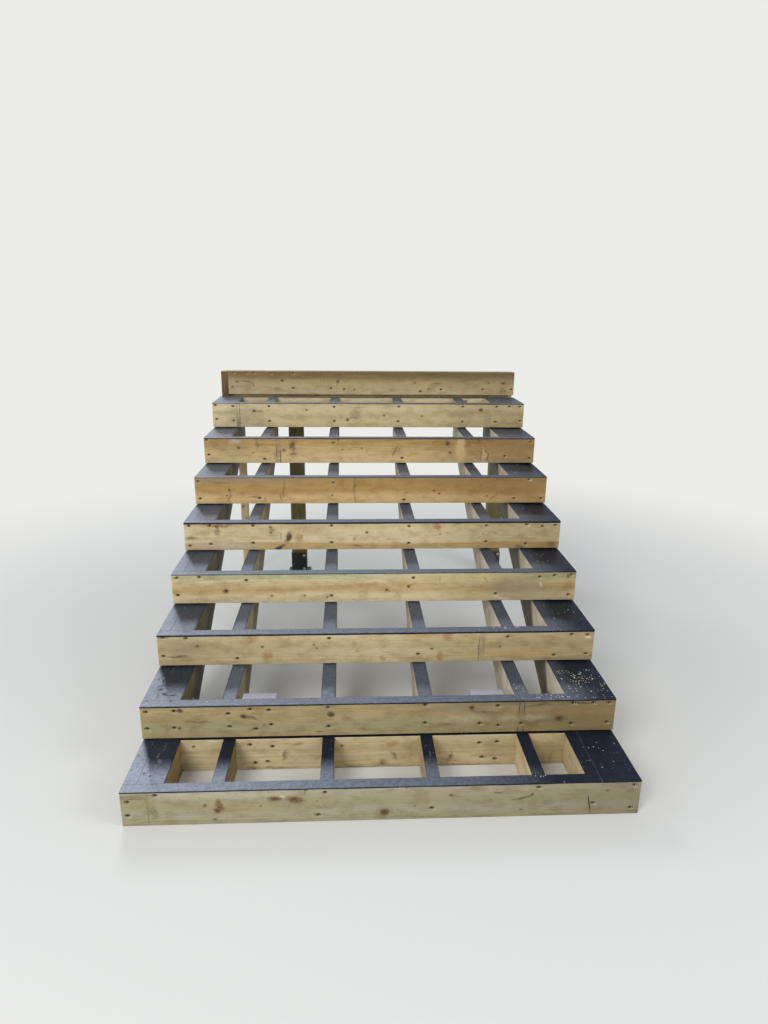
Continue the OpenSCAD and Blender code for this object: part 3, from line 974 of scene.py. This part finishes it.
tree, given = start_group("drive_fasteners", "GeometryNodeTree",
                          {"Points": "g", "Head": "o", "Size": "f", "Spin Seed": "i", "Metal": "m"},
                          {"Fasteners": "g"})
head = add_node(tree, "GeometryNodeObjectInfo", {"Object": given["Head"]})["Geometry"]
facing = add_node(tree, "GeometryNodeInputNamedAttribute", {"Name": "facing"}, data_type="FLOAT_VECTOR")
aimed = add_node(tree, "FunctionNodeAlignRotationToVector", {"Vector": facing["Attribute"]}, axis="Z")
spin = add_node(tree, "FunctionNodeRandomValue", {"Seed": given["Spin Seed"], 3: math.tau},
                data_type="FLOAT")
about = add_node(tree, "FunctionNodeAxisAngleToRotation", {"Axis": (0, 0, 1), "Angle": spin[1]})
spun = add_node(tree, "FunctionNodeRotateRotation", {"Rotation": aimed, "Rotate By": about},
                rotation_space="LOCAL")
copies = add_node(tree, "GeometryNodeInstanceOnPoints", {
    "Points": given["Points"], "Instance": head, "Rotation": spun,
    "Scale": vector(given["Size"], given["Size"], given["Size"])})
DRIVE = finish_group(tree, {"Fasteners": made_real(copies, given["Metal"])})
print("fastener tree:", len(DRIVE.nodes), "nodes")

# %% [markdown]
# A tree runs as a modifier. Its inputs are set by their identifiers, and the result is kept as a
# plain mesh. The points it starts from carry the way that each head faces.

# %% Running a tree, points and turned heads
SIDES = 24


def run_tree(piece, tree, values):
    """Runs a Geometry Nodes tree on a piece, with its inputs set first, and keeps the plain mesh."""
    modifier = piece.modifiers.new(tree.name, "NODES")
    modifier.node_group = tree
    for item in tree.interface.items_tree:
        if item.in_out == "INPUT" and item.name in values:
            modifier[item.identifier] = values[item.name]
    return settle(piece)


def facing_points(name, places):
    piece = piece_from_points(name, [spot for spot, way in places])
    ways = piece.data.attributes.new("facing", "FLOAT_VECTOR", "POINT")
    ways.data.foreach_set("vector", [c for spot, way in places for c in way])
    return piece


def bridge(shape, loops):
    """Joins closed loops of points with faces, caps both ends and turns the normals outward."""
    for lower, upper in zip(loops, loops[1:]):
        for k in range(len(lower)):
            after = (k + 1) % len(lower)
            shape.faces.new((lower[k], lower[after], upper[after], upper[k]))
    shape.faces.new(list(reversed(loops[0])))
    shape.faces.new(loops[-1])
    bmesh.ops.recalc_face_normals(shape, faces=shape.faces)


def turned_head(name, rings):
    """A small head from rings of points: each ring is a height and a radius for every angle."""
    shape = bmesh.new()
    angles = [math.tau * k / SIDES for k in range(SIDES)]
    loops = [[shape.verts.new((radius(a) * math.cos(a), radius(a) * math.sin(a), height)) for a in angles]
             for height, radius in rings]
    bridge(shape, loops)
    return piece_from_shape(name, shape)


print("heads have", SIDES, "sides")

# %% [markdown]
# The metals. The deck screws have a bronze coat, dark with paler blotches. The bolts of the post
# shoes are zinc plated. Both finishes are one function with other colours.

# %% Metal finishes and the screws
def metal(name, dark, light, scale, roughness):
    material, here = new_material(name)
    fine = noise(here, scale * 9)
    colour = mix(fade(noise(here, scale, 4, 0.65), 0.38, 0.64), dark, light)
    dull = fade(fine, 0.3, 0.7, roughness, roughness + 0.2)
    coat(colour, dull, fine, 0.3, 0.0002, {"Metallic": 1.0})
    return material


def star(deep):
    """The radius of a six-lobed recess at any angle."""
    return lambda angle: deep + 0.00045 * math.cos(6 * angle)


screw_head = turned_head("screw_head", [
    (-0.0028, lambda a: 0.0022), (-0.0004, lambda a: 0.0046), (0.0, lambda a: 0.0044),
    (0.0, star(0.0024)), (-0.0018, star(0.0020))])
BRONZED = metal("bronzed_screw", srgb(74, 62, 42), srgb(120, 100, 70), 900, 0.35)
screws = facing_points("deck_screws", screw_places)
run_tree(screws, DRIVE, {"Head": screw_head, "Size": 1.0, "Spin Seed": 4, "Metal": BRONZED})
bpy.data.objects.remove(screw_head)
smooth_by_angle(screws, 40)
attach(screws, "root")
print(len(screw_places), "screws,", len(screws.data.polygons), "faces")

# %% [markdown]
# The stringers are the clever part of the flight: each is one wide plank with a row of notches
# sawn out, one notch a step, so the whole row of steps rests on it. The saw ran a little past
# each corner and left a slit. Their shape comes straight from the CAD solids: a copy is welded,
# its flat triangles are merged and its edges are eased with a Bevel modifier.

# %% Eased copies of CAD solids
def eased_copy(name, width):
    """A welded copy of a CAD node with its edges eased."""
    shape = bmesh.new()
    shape.from_mesh(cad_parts[name].data)
    bmesh.ops.remove_doubles(shape, verts=shape.verts, dist=1e-5)
    bmesh.ops.dissolve_limit(shape, angle_limit=math.radians(1), verts=shape.verts, edges=shape.edges)
    piece = piece_from_shape(name + "_planed", shape)
    ease = piece.modifiers.new("ease", "BEVEL")
    ease.width = width
    ease.segments = 2
    ease.limit_method = "ANGLE"
    ease.angle_limit = math.radians(40)
    settle(piece)
    smooth_by_angle(piece)
    return piece


print("copies are eased with a Bevel modifier")

# %% [markdown]
# The grain of a stringer runs up the slope, as the plank lay when it was marked out. Each has a
# tone, a painted shade and, where it shows, the tone of its painted shadow under the next step.

# %% Stringers
SLOPE = math.atan2(RISE, GOING)
STRINGERS = {
    "stringer_left_1": ("straw", 0.9, None), "stringer_left_2": ("straw", 0.85, None),
    "stringer_left_3": ("moss", 0.92, "dusk"), "stringer_middle_1": ("olive", 0.85, "grey"),
    "stringer_middle_2": ("straw", 0.9, "grey"), "stringer_middle_3": ("bleached", 1.0, "linen"),
    "stringer_middle_4": ("bleached", 1.0, "linen"), "stringer_right_1": ("bleached", 0.95, "dusk"),
    "stringer_right_2": ("straw", 1.0, None), "stringer_right_3": ("straw", 0.95, None),
    "stringer_right_4": ("pale", 1.0, None),
}
pick = random.Random(11)


def random_marks(half_x, half_z):
    return [(pick.uniform(100, 2400), pick.uniform(-120, 60), half_x, half_z, 0, 0.3) for k in range(3)]


for number, (name, (tone, light, under_step_tone)) in enumerate(STRINGERS.items()):
    low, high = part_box(name)
    piece = eased_copy(name, 0.0012)
    knots = [(pick.uniform(80, 2500), pick.uniform(-140, 60), pick.uniform(5, 11)) for k in range(6)]
    marks = {"moss": random_marks(160, 24), "brown": random_marks(60, 6)}
    dress(piece, timber(
        name + "_timber", low, high, grain="Y", slope=SLOPE, tones=((0, tone), (0.6, tone), (1, tone)),
        under_step_shade_tone=under_step_tone, painted_shade=((0, light), (1, light)), warmth=0.12, knots=knots, marks=marks,
        seed=number * 1.7, pith=(0, 0.06 + 0.01 * number, 0.02), ring=0.006, end_tone="pale"))
    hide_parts(name)
    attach(piece, "root")
    print(name, len(piece.data.polygons), "faces")

# %% [markdown]
# The rest of the frame timber: joists of the box, ledger, inner rim, the stakes, the leg and the
# posts. They are plainer, so the places of their knots are random numbers with a fixed seed.
# The posts are older stock with a green tint, and their dark olive tone also holds painted shade
# from the deck above them. The end of the rim is dark brown. The joists on the left of the box
# carry painted shade: a darker tone, and on the middle joists a ramp that darkens to the left.

# %% Joists, ledger, stakes and posts
PLAIN = {
    "box_joists_left": ("Y", "khaki", "frame_timber"), "box_joists_middle": ("Y", "cream", "frame_timber"),
    "box_joists_right": ("Y", "cream", "frame_timber"), "ledger_board": ("X", "pale", "riser_timber"),
    "deck_rim_inner": ("X", "straw", "riser_timber"), "ledger_leg": ("Z", "pale", "frame_timber"),
    "ground_stake_left": ("Z", "ash", "post_timber"), "ground_stake_right": ("Z", "ash", "post_timber"),
    "post_left": ("Z", "moss", "post_timber"), "post_right": ("Z", "moss", "post_timber"),
    "deck_rim_end": ("Z", "brown", "stained_timber"),
}
KNOTS_BY_GRAIN = {"X": 9, "Y": 0, "Z": 4}
# Painted shade over the middle joists, darker towards the left.
PAINTED_SHADE_LEFT = ((0.2, 0.34), (0.7, 0.94), (0.8, 1.2))
for number, (name, (grain, tone, slot)) in enumerate(PLAIN.items()):
    low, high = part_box(name)
    piece = eased_copy(name, 0.0022)
    span = {"X": (-900, 900), "Y": (20, 250), "Z": (60, (high.z - low.z) / MM)}[grain]
    width = (-35, 35) if grain == "Z" else (15, 130)
    knots = [(pick.uniform(*span), pick.uniform(*width), pick.uniform(5, 9))
             for k in range(KNOTS_BY_GRAIN[grain])]
    dress(piece, timber(
        name + "_timber", low, high, grain=grain, tones=((0, tone), (0.6, tone), (1, tone)), knots=knots,
        painted_shade=PAINTED_SHADE_LEFT if name == "box_joists_middle" else EVEN, warmth=0.12,
        seed=20 + number * 1.3, pith=(0, 0.04, 0.01) if grain == "Z" else (0, 0.05, 0.04),
        end_tone="lilac" if "stake" in name else "straw"))
    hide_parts(name)
    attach(piece, "root")
    print(name, len(piece.data.polygons), "faces")

# %% [markdown]
# Joist tape is a strip of black butyl, 50 mm wide and about a millimetre thick, rolled along the
# top of each bearer to keep water out. Its edges fold down, it ripples, and it never lies quite
# straight. A strip is a section swept along a line, so Geometry Nodes sweeps it, and then moves
# its points by noise: a little on top for the ripples, more along the folded hem.
# The section carries a hem value, which the sweep passes on to the mesh.

# %% Geometry Nodes for strips of tape
tree, given = start_group("lay_tape", "GeometryNodeTree",
                          {"Lines": "g", "Section": "o", "Spacing": "f", "Ripple": "f", "Hem Wander": "f",
                           "Seed": "f", "Tape": "m"}, {"Strips": "g"})
lines = add_node(tree, "GeometryNodeMeshToCurve", {0: given["Lines"]})
lines = add_node(tree, "GeometryNodeSetCurveNormal", {"Curve": lines}, mode="Z_UP")
lines = add_node(tree, "GeometryNodeResampleCurve", {"Curve": lines, "Length": given["Spacing"]},
                 mode="LENGTH")
drawn = add_node(tree, "GeometryNodeObjectInfo", {"Object": given["Section"]})["Geometry"]
drawn = add_node(tree, "GeometryNodeMeshToCurve", {0: drawn})
swept = add_node(tree, "GeometryNodeCurveToMesh", {"Curve": lines, "Profile Curve": drawn, "Fill Caps": True})
hem = add_node(tree, "GeometryNodeInputNamedAttribute", {"Name": "hem"}, data_type="FLOAT")["Attribute"]
flat = (add_node(tree, "GeometryNodeInputPosition") + vector(given["Seed"])) * (1, 1, 0)
wave = noise(flat, 16.0, 3, 0.55) - 0.5
crease = noise(flat, 70.0) - 0.5
ripple = (wave + crease * 0.45) * given["Ripple"]
droop = (noise(flat * (1, 0.6, 0), 5.0, 4, 0.6) - 0.5) * given["Hem Wander"] * hem
lift = ripple * (1.0 - hem) + droop
moved = add_node(tree, "GeometryNodeSetPosition", {"Geometry": swept, "Offset": vector(z=lift)})
TAPE = finish_group(tree, {"Strips": made_real(moved, given["Tape"])})
print("tape tree:", len(tree.nodes), "nodes")

# %% [markdown]
# The tape is nearly black and satin, with a grey-blue haze that is partly dust and partly painted
# sheen, the reflection of a bright sky. The haze is thickest on the left and along the front of each
# step. Painted shade takes it away towards the back of each step, under the riser above, and it has
# less painted sheen on the right of the lower steps. A patch of painted light keeps it on the outer
# strip of the left pack. Above the first step it also lies on the single strips. On the first step
# it is a little thinner away from its left end.

# %% Dust, painted sheen and painted shade on the tape
def dust_and_sheen(here, axes, storey, depth, raised, grime):
    """How much haze lies on the tape: dust and painted sheen, less where painted shade falls. Storey counts
    steps from 0, depth is the share of a step.
    """
    # corner takes painted sheen off the right of the lower steps; upper takes some haze off the left of the
    # steps above the first, and left gives more haze towards the left, dust and painted sheen alike.
    corner = fade(axes["X"], raised * 0.47 + 0.25, raised * 0.08 + 0.87) * fade(axes["Z"], 1.3, 0.5)
    upper = raised * fade(axes["X"], 0.2, -0.9, 0, 0.20) * fade(storey, 6.6, 5.2, 0.3, 1.0)
    left = fade(axes["X"], 0.7, -0.9, 0.34, 0.78) - upper
    # rim is a patch of painted light on the outer strip of the left pack; its edge slants back across the
    # step.
    rim = fade(axes["X"] + depth * 0.125, 0.141 - FIRST_HIGH.x, 0.114 - FIRST_HIGH.x, 0, 1.17)
    # opened is the painted shade under the riser above: the haze fades towards the back of each step.
    opened = calc("MAXIMUM", rim, fade(depth, 0.66, 0.22, 0.06, 1.0))
    opened = calc("MAXIMUM", opened, storey * 0.10)
    opened = calc("MAXIMUM", opened, raised * fade(axes["X"], -0.78, -0.70, 0, 0.5))
    haze = left * opened - corner * 0.40
    haze = haze - (1.0 - raised) * fade(axes["X"], -0.9, -0.6, 0, 0.07)
    haze = haze * fade(grime, 0.3, 0.7, 0.72, 1.2)
    facing = split(add_node(tree_of(here), "ShaderNodeNewGeometry")["Normal"])
    return haze * fade(facing["Z"], 0.2, 0.9)


print("haze ready")

# %% [markdown]
# Work on the flight left dents and scuffs on the left packs of the first two steps. They were read
# off the photo like the marks on the boards: x from the middle, then the depth from the riser.

# %% Dents and scuffs in the tape
TAPE_TONES = {"dent": srgb(48, 52, 64), "scuff": srgb(160, 164, 172)}
# Each is its step, x and depth in mm, two half sizes, a turn in degrees and a strength.
TAPE_MARKS = {
    "dent": ((1, -938, 122, 3, 4, 0, 0.8), (1, -889, 101, 4, 5, 0, 0.8), (1, -863, 87, 4, 4, 0, 0.8),
             (1, -941, 209, 3, 5, 0, 0.6), (1, -926, 141, 3, 4, 0, 0.5), (1, -892, 61, 3, 3, 0, 0.5),
             (2, -896, 124, 8, 7, 0, 1), (2, -877, 91, 12, 7, -20, 1), (2, -862, 79, 11, 5, 0, 0.8),
             (2, -840, 78, 11, 7, 10, 0.9), (2, -837, 35, 5, 7, 0, 0.8), (2, -932, 41, 12, 5, 10, 0.7),
             (2, -896, 155, 14, 5, 15, 0.9), (2, -880, 153, 9, 5, 0, 0.8), (2, -896, 66, 2, 14, 10, 0.8),
             (2, -914, 143, 3, 12, 0, 0.6), (2, -926, 206, 5, 9, 20, 0.6),
             (2, -905, 190, 4, 10, 10, 0.7)),
    "scuff": ((1, -852, 259, 1.4, 30, -3, 0.28), (1, -863, 207, 1.6, 16, -12, 0.4),
              (1, -850, 173, 8, 14, 30, 0.2), (1, -853, 145, 2, 8, -10, 0.35),
              (1, -905, 284, 1.4, 13, -8, 0.2), (2, -908, 211, 2, 12, -15, 0.4),
              (2, -880, 118, 9, 3, 5, 0.3)),
}


def with_tape_marks(colour, wavy):
    for tone, spots in TAPE_MARKS.items():
        mask = 0.0
        for step, x, depth, half_x, half_y, angle, strength in spots:
            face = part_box(f"riser_board_{step}")[0].y
            mask = mark(mask, wavy, (x * MM, face + depth * MM), (half_x * MM, half_y * MM),
                        -math.radians(angle), 0.5, strength)
        colour = mix(mask, colour, TAPE_TONES[tone])
    return colour


print({tone: len(spots) for tone, spots in TAPE_MARKS.items()})

# %% [markdown]
# The rest of the finish: long thin scuffs, pale specks of sawdust, small pits, the ridge where
# the strips start over the front band, a seam in the right pack of the first step, and a fine
# wrinkle for the bump.

# %% Tape finish
RIDGE_DEPTH = 0.148
SEAM_X = 0.801


def tape_finish():
    material, here = new_material("joist_tape")
    axes = split(here)
    storey = calc("ROUND", (axes["Z"] - FIRST_HIGH.z) / RISE)
    raised = calc("MINIMUM", storey, 1.0)
    depth = (axes["Y"] - FIRST_LOW.y) / GOING - storey
    grime = noise(here, 85.0, 5, 0.7)
    haze = dust_and_sheen(here, axes, storey, depth, raised, grime)
    dust = dust_masks(here, 0.0, 0.14)
    colour = mix(fade(grime, 0.35, 0.7), srgb(21, 26, 37), srgb(33, 39, 52))
    # The haze colour is grey-blue: dust, and painted sheen.
    colour = mix(haze, colour, srgb(146, 154, 169))
    scuffs = fade(noise(here * (160, 14, 60), 1.0, 2, 0.6), 0.66, 0.78)
    scuffs = scuffs * fade(noise(here, 5.0), 0.5, 0.65)
    colour = mix(scuffs * 0.55, colour, srgb(168, 172, 176))
    speck_tone = mix(fade(axes["X"], -0.6, -0.3), srgb(54, 57, 64), srgb(186, 186, 180))
    colour = mix(dust["Specks"] * 0.9, colour, speck_tone)
    pits = dust_masks(here * (1.4, 1.4, 1.4), 0.0, 0.2)["Specks"] * fade(axes["X"], 0.1, -0.7, 0, 0.8)
    colour = mix(pits, colour, srgb(40, 43, 52))
    wander = noise(here, 60.0, 3)["Color"] - (0.5, 0.5, 0.5)
    colour = with_tape_marks(colour, vector(axes["X"], axes["Y"]) + wander * (0.012, 0.012, 0))
    ridge = abs(depth + noise(here, 18.0) * 0.02 - RIDGE_DEPTH)
    ridge = fade(ridge, 0.008, 0.003, 0, 0.36) * fade(axes["X"], -0.6, -0.82)
    colour = mix(ridge, colour, TAPE_TONES["dent"])
    seam = fade(abs(axes["X"] - SEAM_X), 0.0035, 0.001, 0, 0.2)
    colour = mix(seam * (1.0 - raised) * grime, colour, srgb(150, 152, 154))
    dull = fade(dust["Drift"] + grime * 0.4, 0.1, 0.9, 0.34, 0.62)
    height = noise(here * (1, 1, 0.2), 220.0, 3, 0.6) + dust["Specks"] * 0.5
    coat(colour, dull, height, 0.35, 0.0006, {"IOR": 1.5, "Specular IOR Level": 0.12})
    return material


JOIST_TAPE = tape_finish()
print("tape finish:", len(JOIST_TAPE.node_tree.nodes), "nodes")

# %% [markdown]
# Four kinds of section are enough: the band along a riser, which folds over its face; the strip
# on a single stringer, which folds down both sides; and the strips of a pack, flat or with one
# fold. A section is drawn in millimetres as across and up, from the hem round the bend.

# %% Sections of tape
THICK = 1.15
UNDERSIDE = 0.03
BEND_RADIUS = 2.6


def folded_edge(edge, way, fold):
    """The outer and the inner points of an edge that bends down, from the hem inwards."""
    bend, run = fold
    turns = [math.radians(bend * k / 4) for k in range(4, -1, -1)]
    lines = []
    for radius in (BEND_RADIUS + THICK, BEND_RADIUS + 0.02):
        arc = [(edge + way * (radius * math.sin(t) - BEND_RADIUS), radius * math.cos(t) - BEND_RADIUS)
               for t in turns]
        hem = (arc[0][0] + way * run * math.cos(turns[0]), arc[0][1] - run * math.sin(turns[0]))
        lines.append([hem] + arc)
    return lines


def flat_edge(edge, way):
    inward = edge - way * 0.5
    return [(edge, THICK * 0.5), (inward, THICK)], [(edge, UNDERSIDE), (inward, UNDERSIDE)]


def section(left, right, left_fold=None, right_fold=None):
    """A thin closed section from left to right in mm. A fold is its bend in degrees and its length."""
    skin, inner = folded_edge(left, -1, left_fold) if left_fold else flat_edge(left, -1)
    skin_end, inner_end = folded_edge(right, 1, right_fold) if right_fold else flat_edge(right, 1)
    first, last = skin[-1][0] + 1.2, skin_end[-1][0] - 1.2
    steps = max(3, int((right - left) / 6))
    between = [first + (last - first) * k / steps for k in range(steps + 1)]
    middle = len(skin) + len(between) + len(skin_end) - 2
    hems = [1 if left_fold else 0] + [0] * middle + [1 if right_fold else 0]
    skin = skin + [(across, THICK) for across in between] + skin_end[::-1]
    inner = inner + [(across, UNDERSIDE) for across in between] + inner_end[::-1]
    loop = skin + inner[::-1]
    piece = piece_from_points("section", [(across * MM, -up * MM, 0) for across, up in loop],
                              [(k, (k + 1) % len(loop)) for k in range(len(loop))])
    value = piece.data.attributes.new("hem", "FLOAT", "POINT")
    value.data.foreach_set("value", hems + hems[::-1])
    return piece


print("tape is", THICK, "mm thick")

# %% [markdown]
# Each step gets its tape as one piece: the front band, four single strips, three strips on the
# left pack, four on the right, and on the first and last step a band at the back as well.
# Each strip lies on a line of two points, and all lines with the same section go through one run.
# The seed moves the noise, so that no two runs ripple alike.

# %% Laying strips
SPACING = 0.008
OVERLAP, ABOVE_BAND = 0.006, 0.0003


def lay(lines, shape, ripple, wander, seed):
    """Sweeps a section along every line. A line is its two ends."""
    points = [point for line in lines for point in line]
    strips = piece_from_points("strips", points, [(2 * k, 2 * k + 1) for k in range(len(lines))])
    run_tree(strips, TAPE, {"Section": shape, "Spacing": SPACING, "Ripple": ripple, "Hem Wander": wander,
                            "Seed": seed, "Tape": JOIST_TAPE})
    bpy.data.objects.remove(shape)
    return strips


def join(name, parts):
    shape = bmesh.new()
    for part in parts:
        shape.from_mesh(part.data)
        bpy.data.objects.remove(part)
    return piece_from_shape(name, shape)


def across(low, high, y):
    """The line of a band over the whole width of a step."""
    return [((high.x, y, high.z), (low.x, y, high.z))]


def rows(centres, start, finish, height):
    """Lines that run up the flight, one at each place in mm."""
    return [((x * MM, start, height), (x * MM, finish, height)) for x in centres]


print("a ring of points every", SPACING, "metres")

# %% [markdown]
# All places across the flight are in millimetres from its middle. The strips of a pack are
# nearly as wide as the boards with their gaps, and the outermost end flush with the flight's side.

# %% Tape on every step
STEPS = range(1, 9)
BAND = 45
FRONT_FOLD = {1: 2.6, 2: 3.4, 3: 5.4, 4: 0.6, 5: 6.4, 6: 0.3, 7: 2.4, 8: 0.3}
SINGLES, BEARER = (-608, -213, 182, 577), 47
PACKED, PACKED_HALF = (-875.5, 875.5, 825.5, 775.5), 24.85
INMOST_LEFT, INMOST_EDGES = -825.5, (-25.5, 22.5)
OUTERMOST, OUTER_LEFT_EDGES, OUTER_RIGHT_EDGES = 926.5, (-23.5, 25.8), (-26.8, 23.5)

for step in STEPS:
    low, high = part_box(f"riser_board_{step}")
    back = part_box(f"joist_tape_{step}")[1].y if step == 8 else high.y + GOING
    run = (high.y - OVERLAP, back, high.z + ABOVE_BAND)
    left_fold, right_fold = ((85, 2.4), (85, 2.4)) if step == 1 else ((35, 10), (45, 4.5))
    inmost_fold = (85, 1.5) if step == 1 else (45, 5.0)
    parts = [
        lay(across(low, high, low.y), section(0, BAND, (90, FRONT_FOLD[step])), 0.0008, 0.0035, step),
        lay(rows(SINGLES, *run), section(-BEARER / 2, BEARER / 2, left_fold, right_fold),
            0.0010, 0.0035, step + 20),
        lay(rows(PACKED, *run), section(-PACKED_HALF, PACKED_HALF), 0.0009, 0, step + 40),
        lay(rows([INMOST_LEFT], *run), section(*INMOST_EDGES, None, inmost_fold), 0.0009, 0.003, step + 50),
        lay(rows([-OUTERMOST], *run), section(*OUTER_LEFT_EDGES), 0.0009, 0, step + 60),
        lay(rows([OUTERMOST], *run), section(*OUTER_RIGHT_EDGES), 0.0009, 0, step + 80)]
    if step in (STEPS[0], STEPS[-1]):
        rear = across(low, high, back - BAND * MM)
        parts.append(lay(rear, section(0, BAND), 0.0006, 0, step + 100))
    tape = join(f"tape_on_step_{step}", parts)
    dress(tape, JOIST_TAPE)
    smooth_by_angle(tape, 45)
    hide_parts(f"joist_tape_{step}")
    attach(tape, "root")
    print(tape.name, len(tape.data.polygons), "faces")

# %% [markdown]
# Splinters and sawdust still lie on the right pack of the lower steps. Geometry Nodes scatters
# one sliver over a patch of surface with a fixed seed, at random turns and sizes. Noise thins
# them out between the clumps.

# %% Geometry Nodes for wood chips
tree, given = start_group("scatter_chips", "GeometryNodeTree",
                          {"Patches": "g", "Chip": "o", "Density": "f", "Seed": "i", "Wood": "m"},
                          {"Chips": "g"})
share = add_node(tree, "GeometryNodeInputNamedAttribute", {"Name": "share"}, data_type="FLOAT")["Attribute"]
spots = add_node(tree, "GeometryNodeDistributePointsOnFaces", {
    "Mesh": given["Patches"], "Seed": given["Seed"], "Density": given["Density"] * share})
clumps = fade(noise(add_node(tree, "GeometryNodeInputPosition"), 14.0), 0.44, 0.56)
dice = add_node(tree, "FunctionNodeRandomValue", {"Seed": given["Seed"] + 3.0}, data_type="FLOAT")[1]
bare = calc("GREATER_THAN", dice, clumps + 0.12)
spots = add_node(tree, "GeometryNodeDeleteGeometry", {"Geometry": spots, "Selection": bare})
chip = add_node(tree, "GeometryNodeObjectInfo", {"Object": given["Chip"]})["Geometry"]
turn = add_node(tree, "FunctionNodeRandomValue", {
    "Seed": given["Seed"], 0: (-0.12, -0.12, 0), 1: (0.12, 0.12, math.tau)}, data_type="FLOAT_VECTOR")
size = add_node(tree, "FunctionNodeRandomValue", {"Seed": given["Seed"] + 7.0, 2: 0.4, 3: 1.4},
                data_type="FLOAT")[1]
copies = add_node(tree, "GeometryNodeInstanceOnPoints", {
    "Points": spots, "Instance": chip, "Rotation": turn, "Scale": size})
CHIPS = finish_group(tree, {"Chips": made_real(copies, given["Wood"])})
print("chip tree:", len(tree.nodes), "nodes")

# %% [markdown]
# The sliver is four small rings of four points, wide in the middle and curled up at its ends.
# The patches lie just above the tape, each with its own share of the chips.

# %% Wood chips
CHIP_RINGS = ((-2.6, 0.3, 0.5), (-1.0, 0.9, 0.1), (1.0, 0.8, 0.15), (2.6, 0.2, 0.8))
CHIP_CORNERS = ((-1, 0), (1, 0), (1, 0.35), (-1, 0.35))
ABOVE_TAPE = 0.0019
# Each patch is a step, x and y ranges in mm from the middle and the riser's face, and its share.
PATCHES = [(2, 765, 945, 52, 230, 1.0), (2, 540, 780, 4, 42, 0.9), (2, 780, 945, 4, 42, 0.5),
           (2, 556, 598, 50, 120, 0.5), (1, 790, 945, 60, 280, 0.10), (1, 540, 620, 5, 60, 0.35),
           (3, 790, 930, 60, 280, 0.12), (3, 440, 640, 5, 40, 0.5), (2, -940, -560, 5, 60, 0.15),
           (4, 790, 860, 60, 240, 0.12), (5, 790, 860, 60, 240, 0.10), (6, 790, 860, 60, 240, 0.08)]


def chip_wood():
    material, here = new_material("fresh_chips")
    colour = mix(fade(noise(here, 45.0), 0.4, 0.7), srgb(240, 238, 230), srgb(220, 211, 188))
    grainy = noise(here, 1500.0)
    coat(colour, fade(grainy, 0.2, 0.8, 0.6, 0.85), grainy, 0.4, 0.0002)
    return material


sliver = bmesh.new()
bridge(sliver, [[sliver.verts.new((along * MM, way * wide * MM, (rise + lift) * MM))
                 for way, lift in CHIP_CORNERS] for along, wide, rise in CHIP_RINGS])
chip = piece_from_shape("chip", sliver)
corners, shares = [], []
for step, x0, x1, y0, y1, share in PATCHES:
    low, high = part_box(f"riser_board_{step}")
    corners += [(x * MM, low.y + y * MM, high.z + ABOVE_TAPE)
                for x, y in ((x0, y0), (x1, y0), (x1, y1), (x0, y1))]
    shares += [share] * 4
quads = [tuple(range(first, first + 4)) for first in range(0, len(corners), 4)]
chips = piece_from_points("wood_chips", corners, [], quads)
chips.data.attributes.new("share", "FLOAT", "POINT").data.foreach_set("value", shares)
run_tree(chips, CHIPS, {"Chip": chip, "Density": 7000.0, "Seed": 5, "Wood": chip_wood()})
bpy.data.objects.remove(chip)
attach(chips, "root")
print("wood chips:", len(chips.data.polygons), "faces")

# %% [markdown]
# The posts stand in black post shoes, a square sleeve on a base plate with four open holes.
# The shoe is a CAD solid, eased like the timber, with a fine orange-peel powder coat.
# Two zinc bolts with washers sit on the front and two on the back of each sleeve, near its right
# edge.

# %% Post shoes
PLATE_MARGIN = 0.024
BOLT_FROM_EDGE = 0.016
BOLT_HEIGHTS = (0.040, 0.139)


def powder_coat():
    material, here = new_material("black_powder_coat")
    dust = dust_masks(here, 0.05, 0.08)
    peel = noise(here, 700.0)
    colour = mix(fade(noise(here, 14.0, 3), 0.35, 0.7), srgb(20, 20, 22), srgb(34, 34, 37))
    colour = mix(dust["Drift"] * 0.4, colour, srgb(110, 106, 98))
    colour = mix(dust["Specks"] * 0.5, colour, srgb(150, 146, 136))
    coat(colour, fade(peel, 0.3, 0.7, 0.38, 0.52), peel, 0.3, 0.0003)
    return material


POWDER = powder_coat()
bolt_places = []
for name in ("post_shoe_left", "post_shoe_right"):
    shoe = eased_copy(name, 0.0008)
    dress(shoe, POWDER)
    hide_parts(name)
    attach(shoe, "root")
    low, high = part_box(name)
    for face_y, way in ((low.y + PLATE_MARGIN, -1), (high.y - PLATE_MARGIN, 1)):
        for z in BOLT_HEIGHTS:
            spot = Vector((high.x - PLATE_MARGIN - BOLT_FROM_EDGE, face_y + way * 0.0002, z))
            bolt_places.append((spot, Vector((0, way, 0))))
    print(shoe.name, len(shoe.data.polygons), "faces")

# %% [markdown]
# A bolt head is a washer with a hexagon on it, turned from rings like the head of a screw.

# %% Bolts
def six(across_flats):
    """The radius of a hexagon at any angle."""
    return lambda a: across_flats / 2 / math.cos((a % (math.pi / 3)) - math.pi / 6)


bolt_head = turned_head("bolt_head", [
    (0.0, lambda a: 0.0100), (0.0014, lambda a: 0.0100), (0.0016, lambda a: 0.0096), (0.0016, six(0.0130)),
    (0.0062, six(0.0130)), (0.0070, lambda a: 0.0060)])
ZINC = metal("zinc_plate", srgb(150, 152, 150), srgb(205, 206, 202), 400, 0.25)
bolts = facing_points("shoe_bolts", bolt_places)
run_tree(bolts, DRIVE, {"Head": bolt_head, "Size": 1.0, "Spin Seed": 9, "Metal": ZINC})
bpy.data.objects.remove(bolt_head)
smooth_by_angle(bolts, 30)
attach(bolts, "root")
print(len(bolt_places), "bolts")
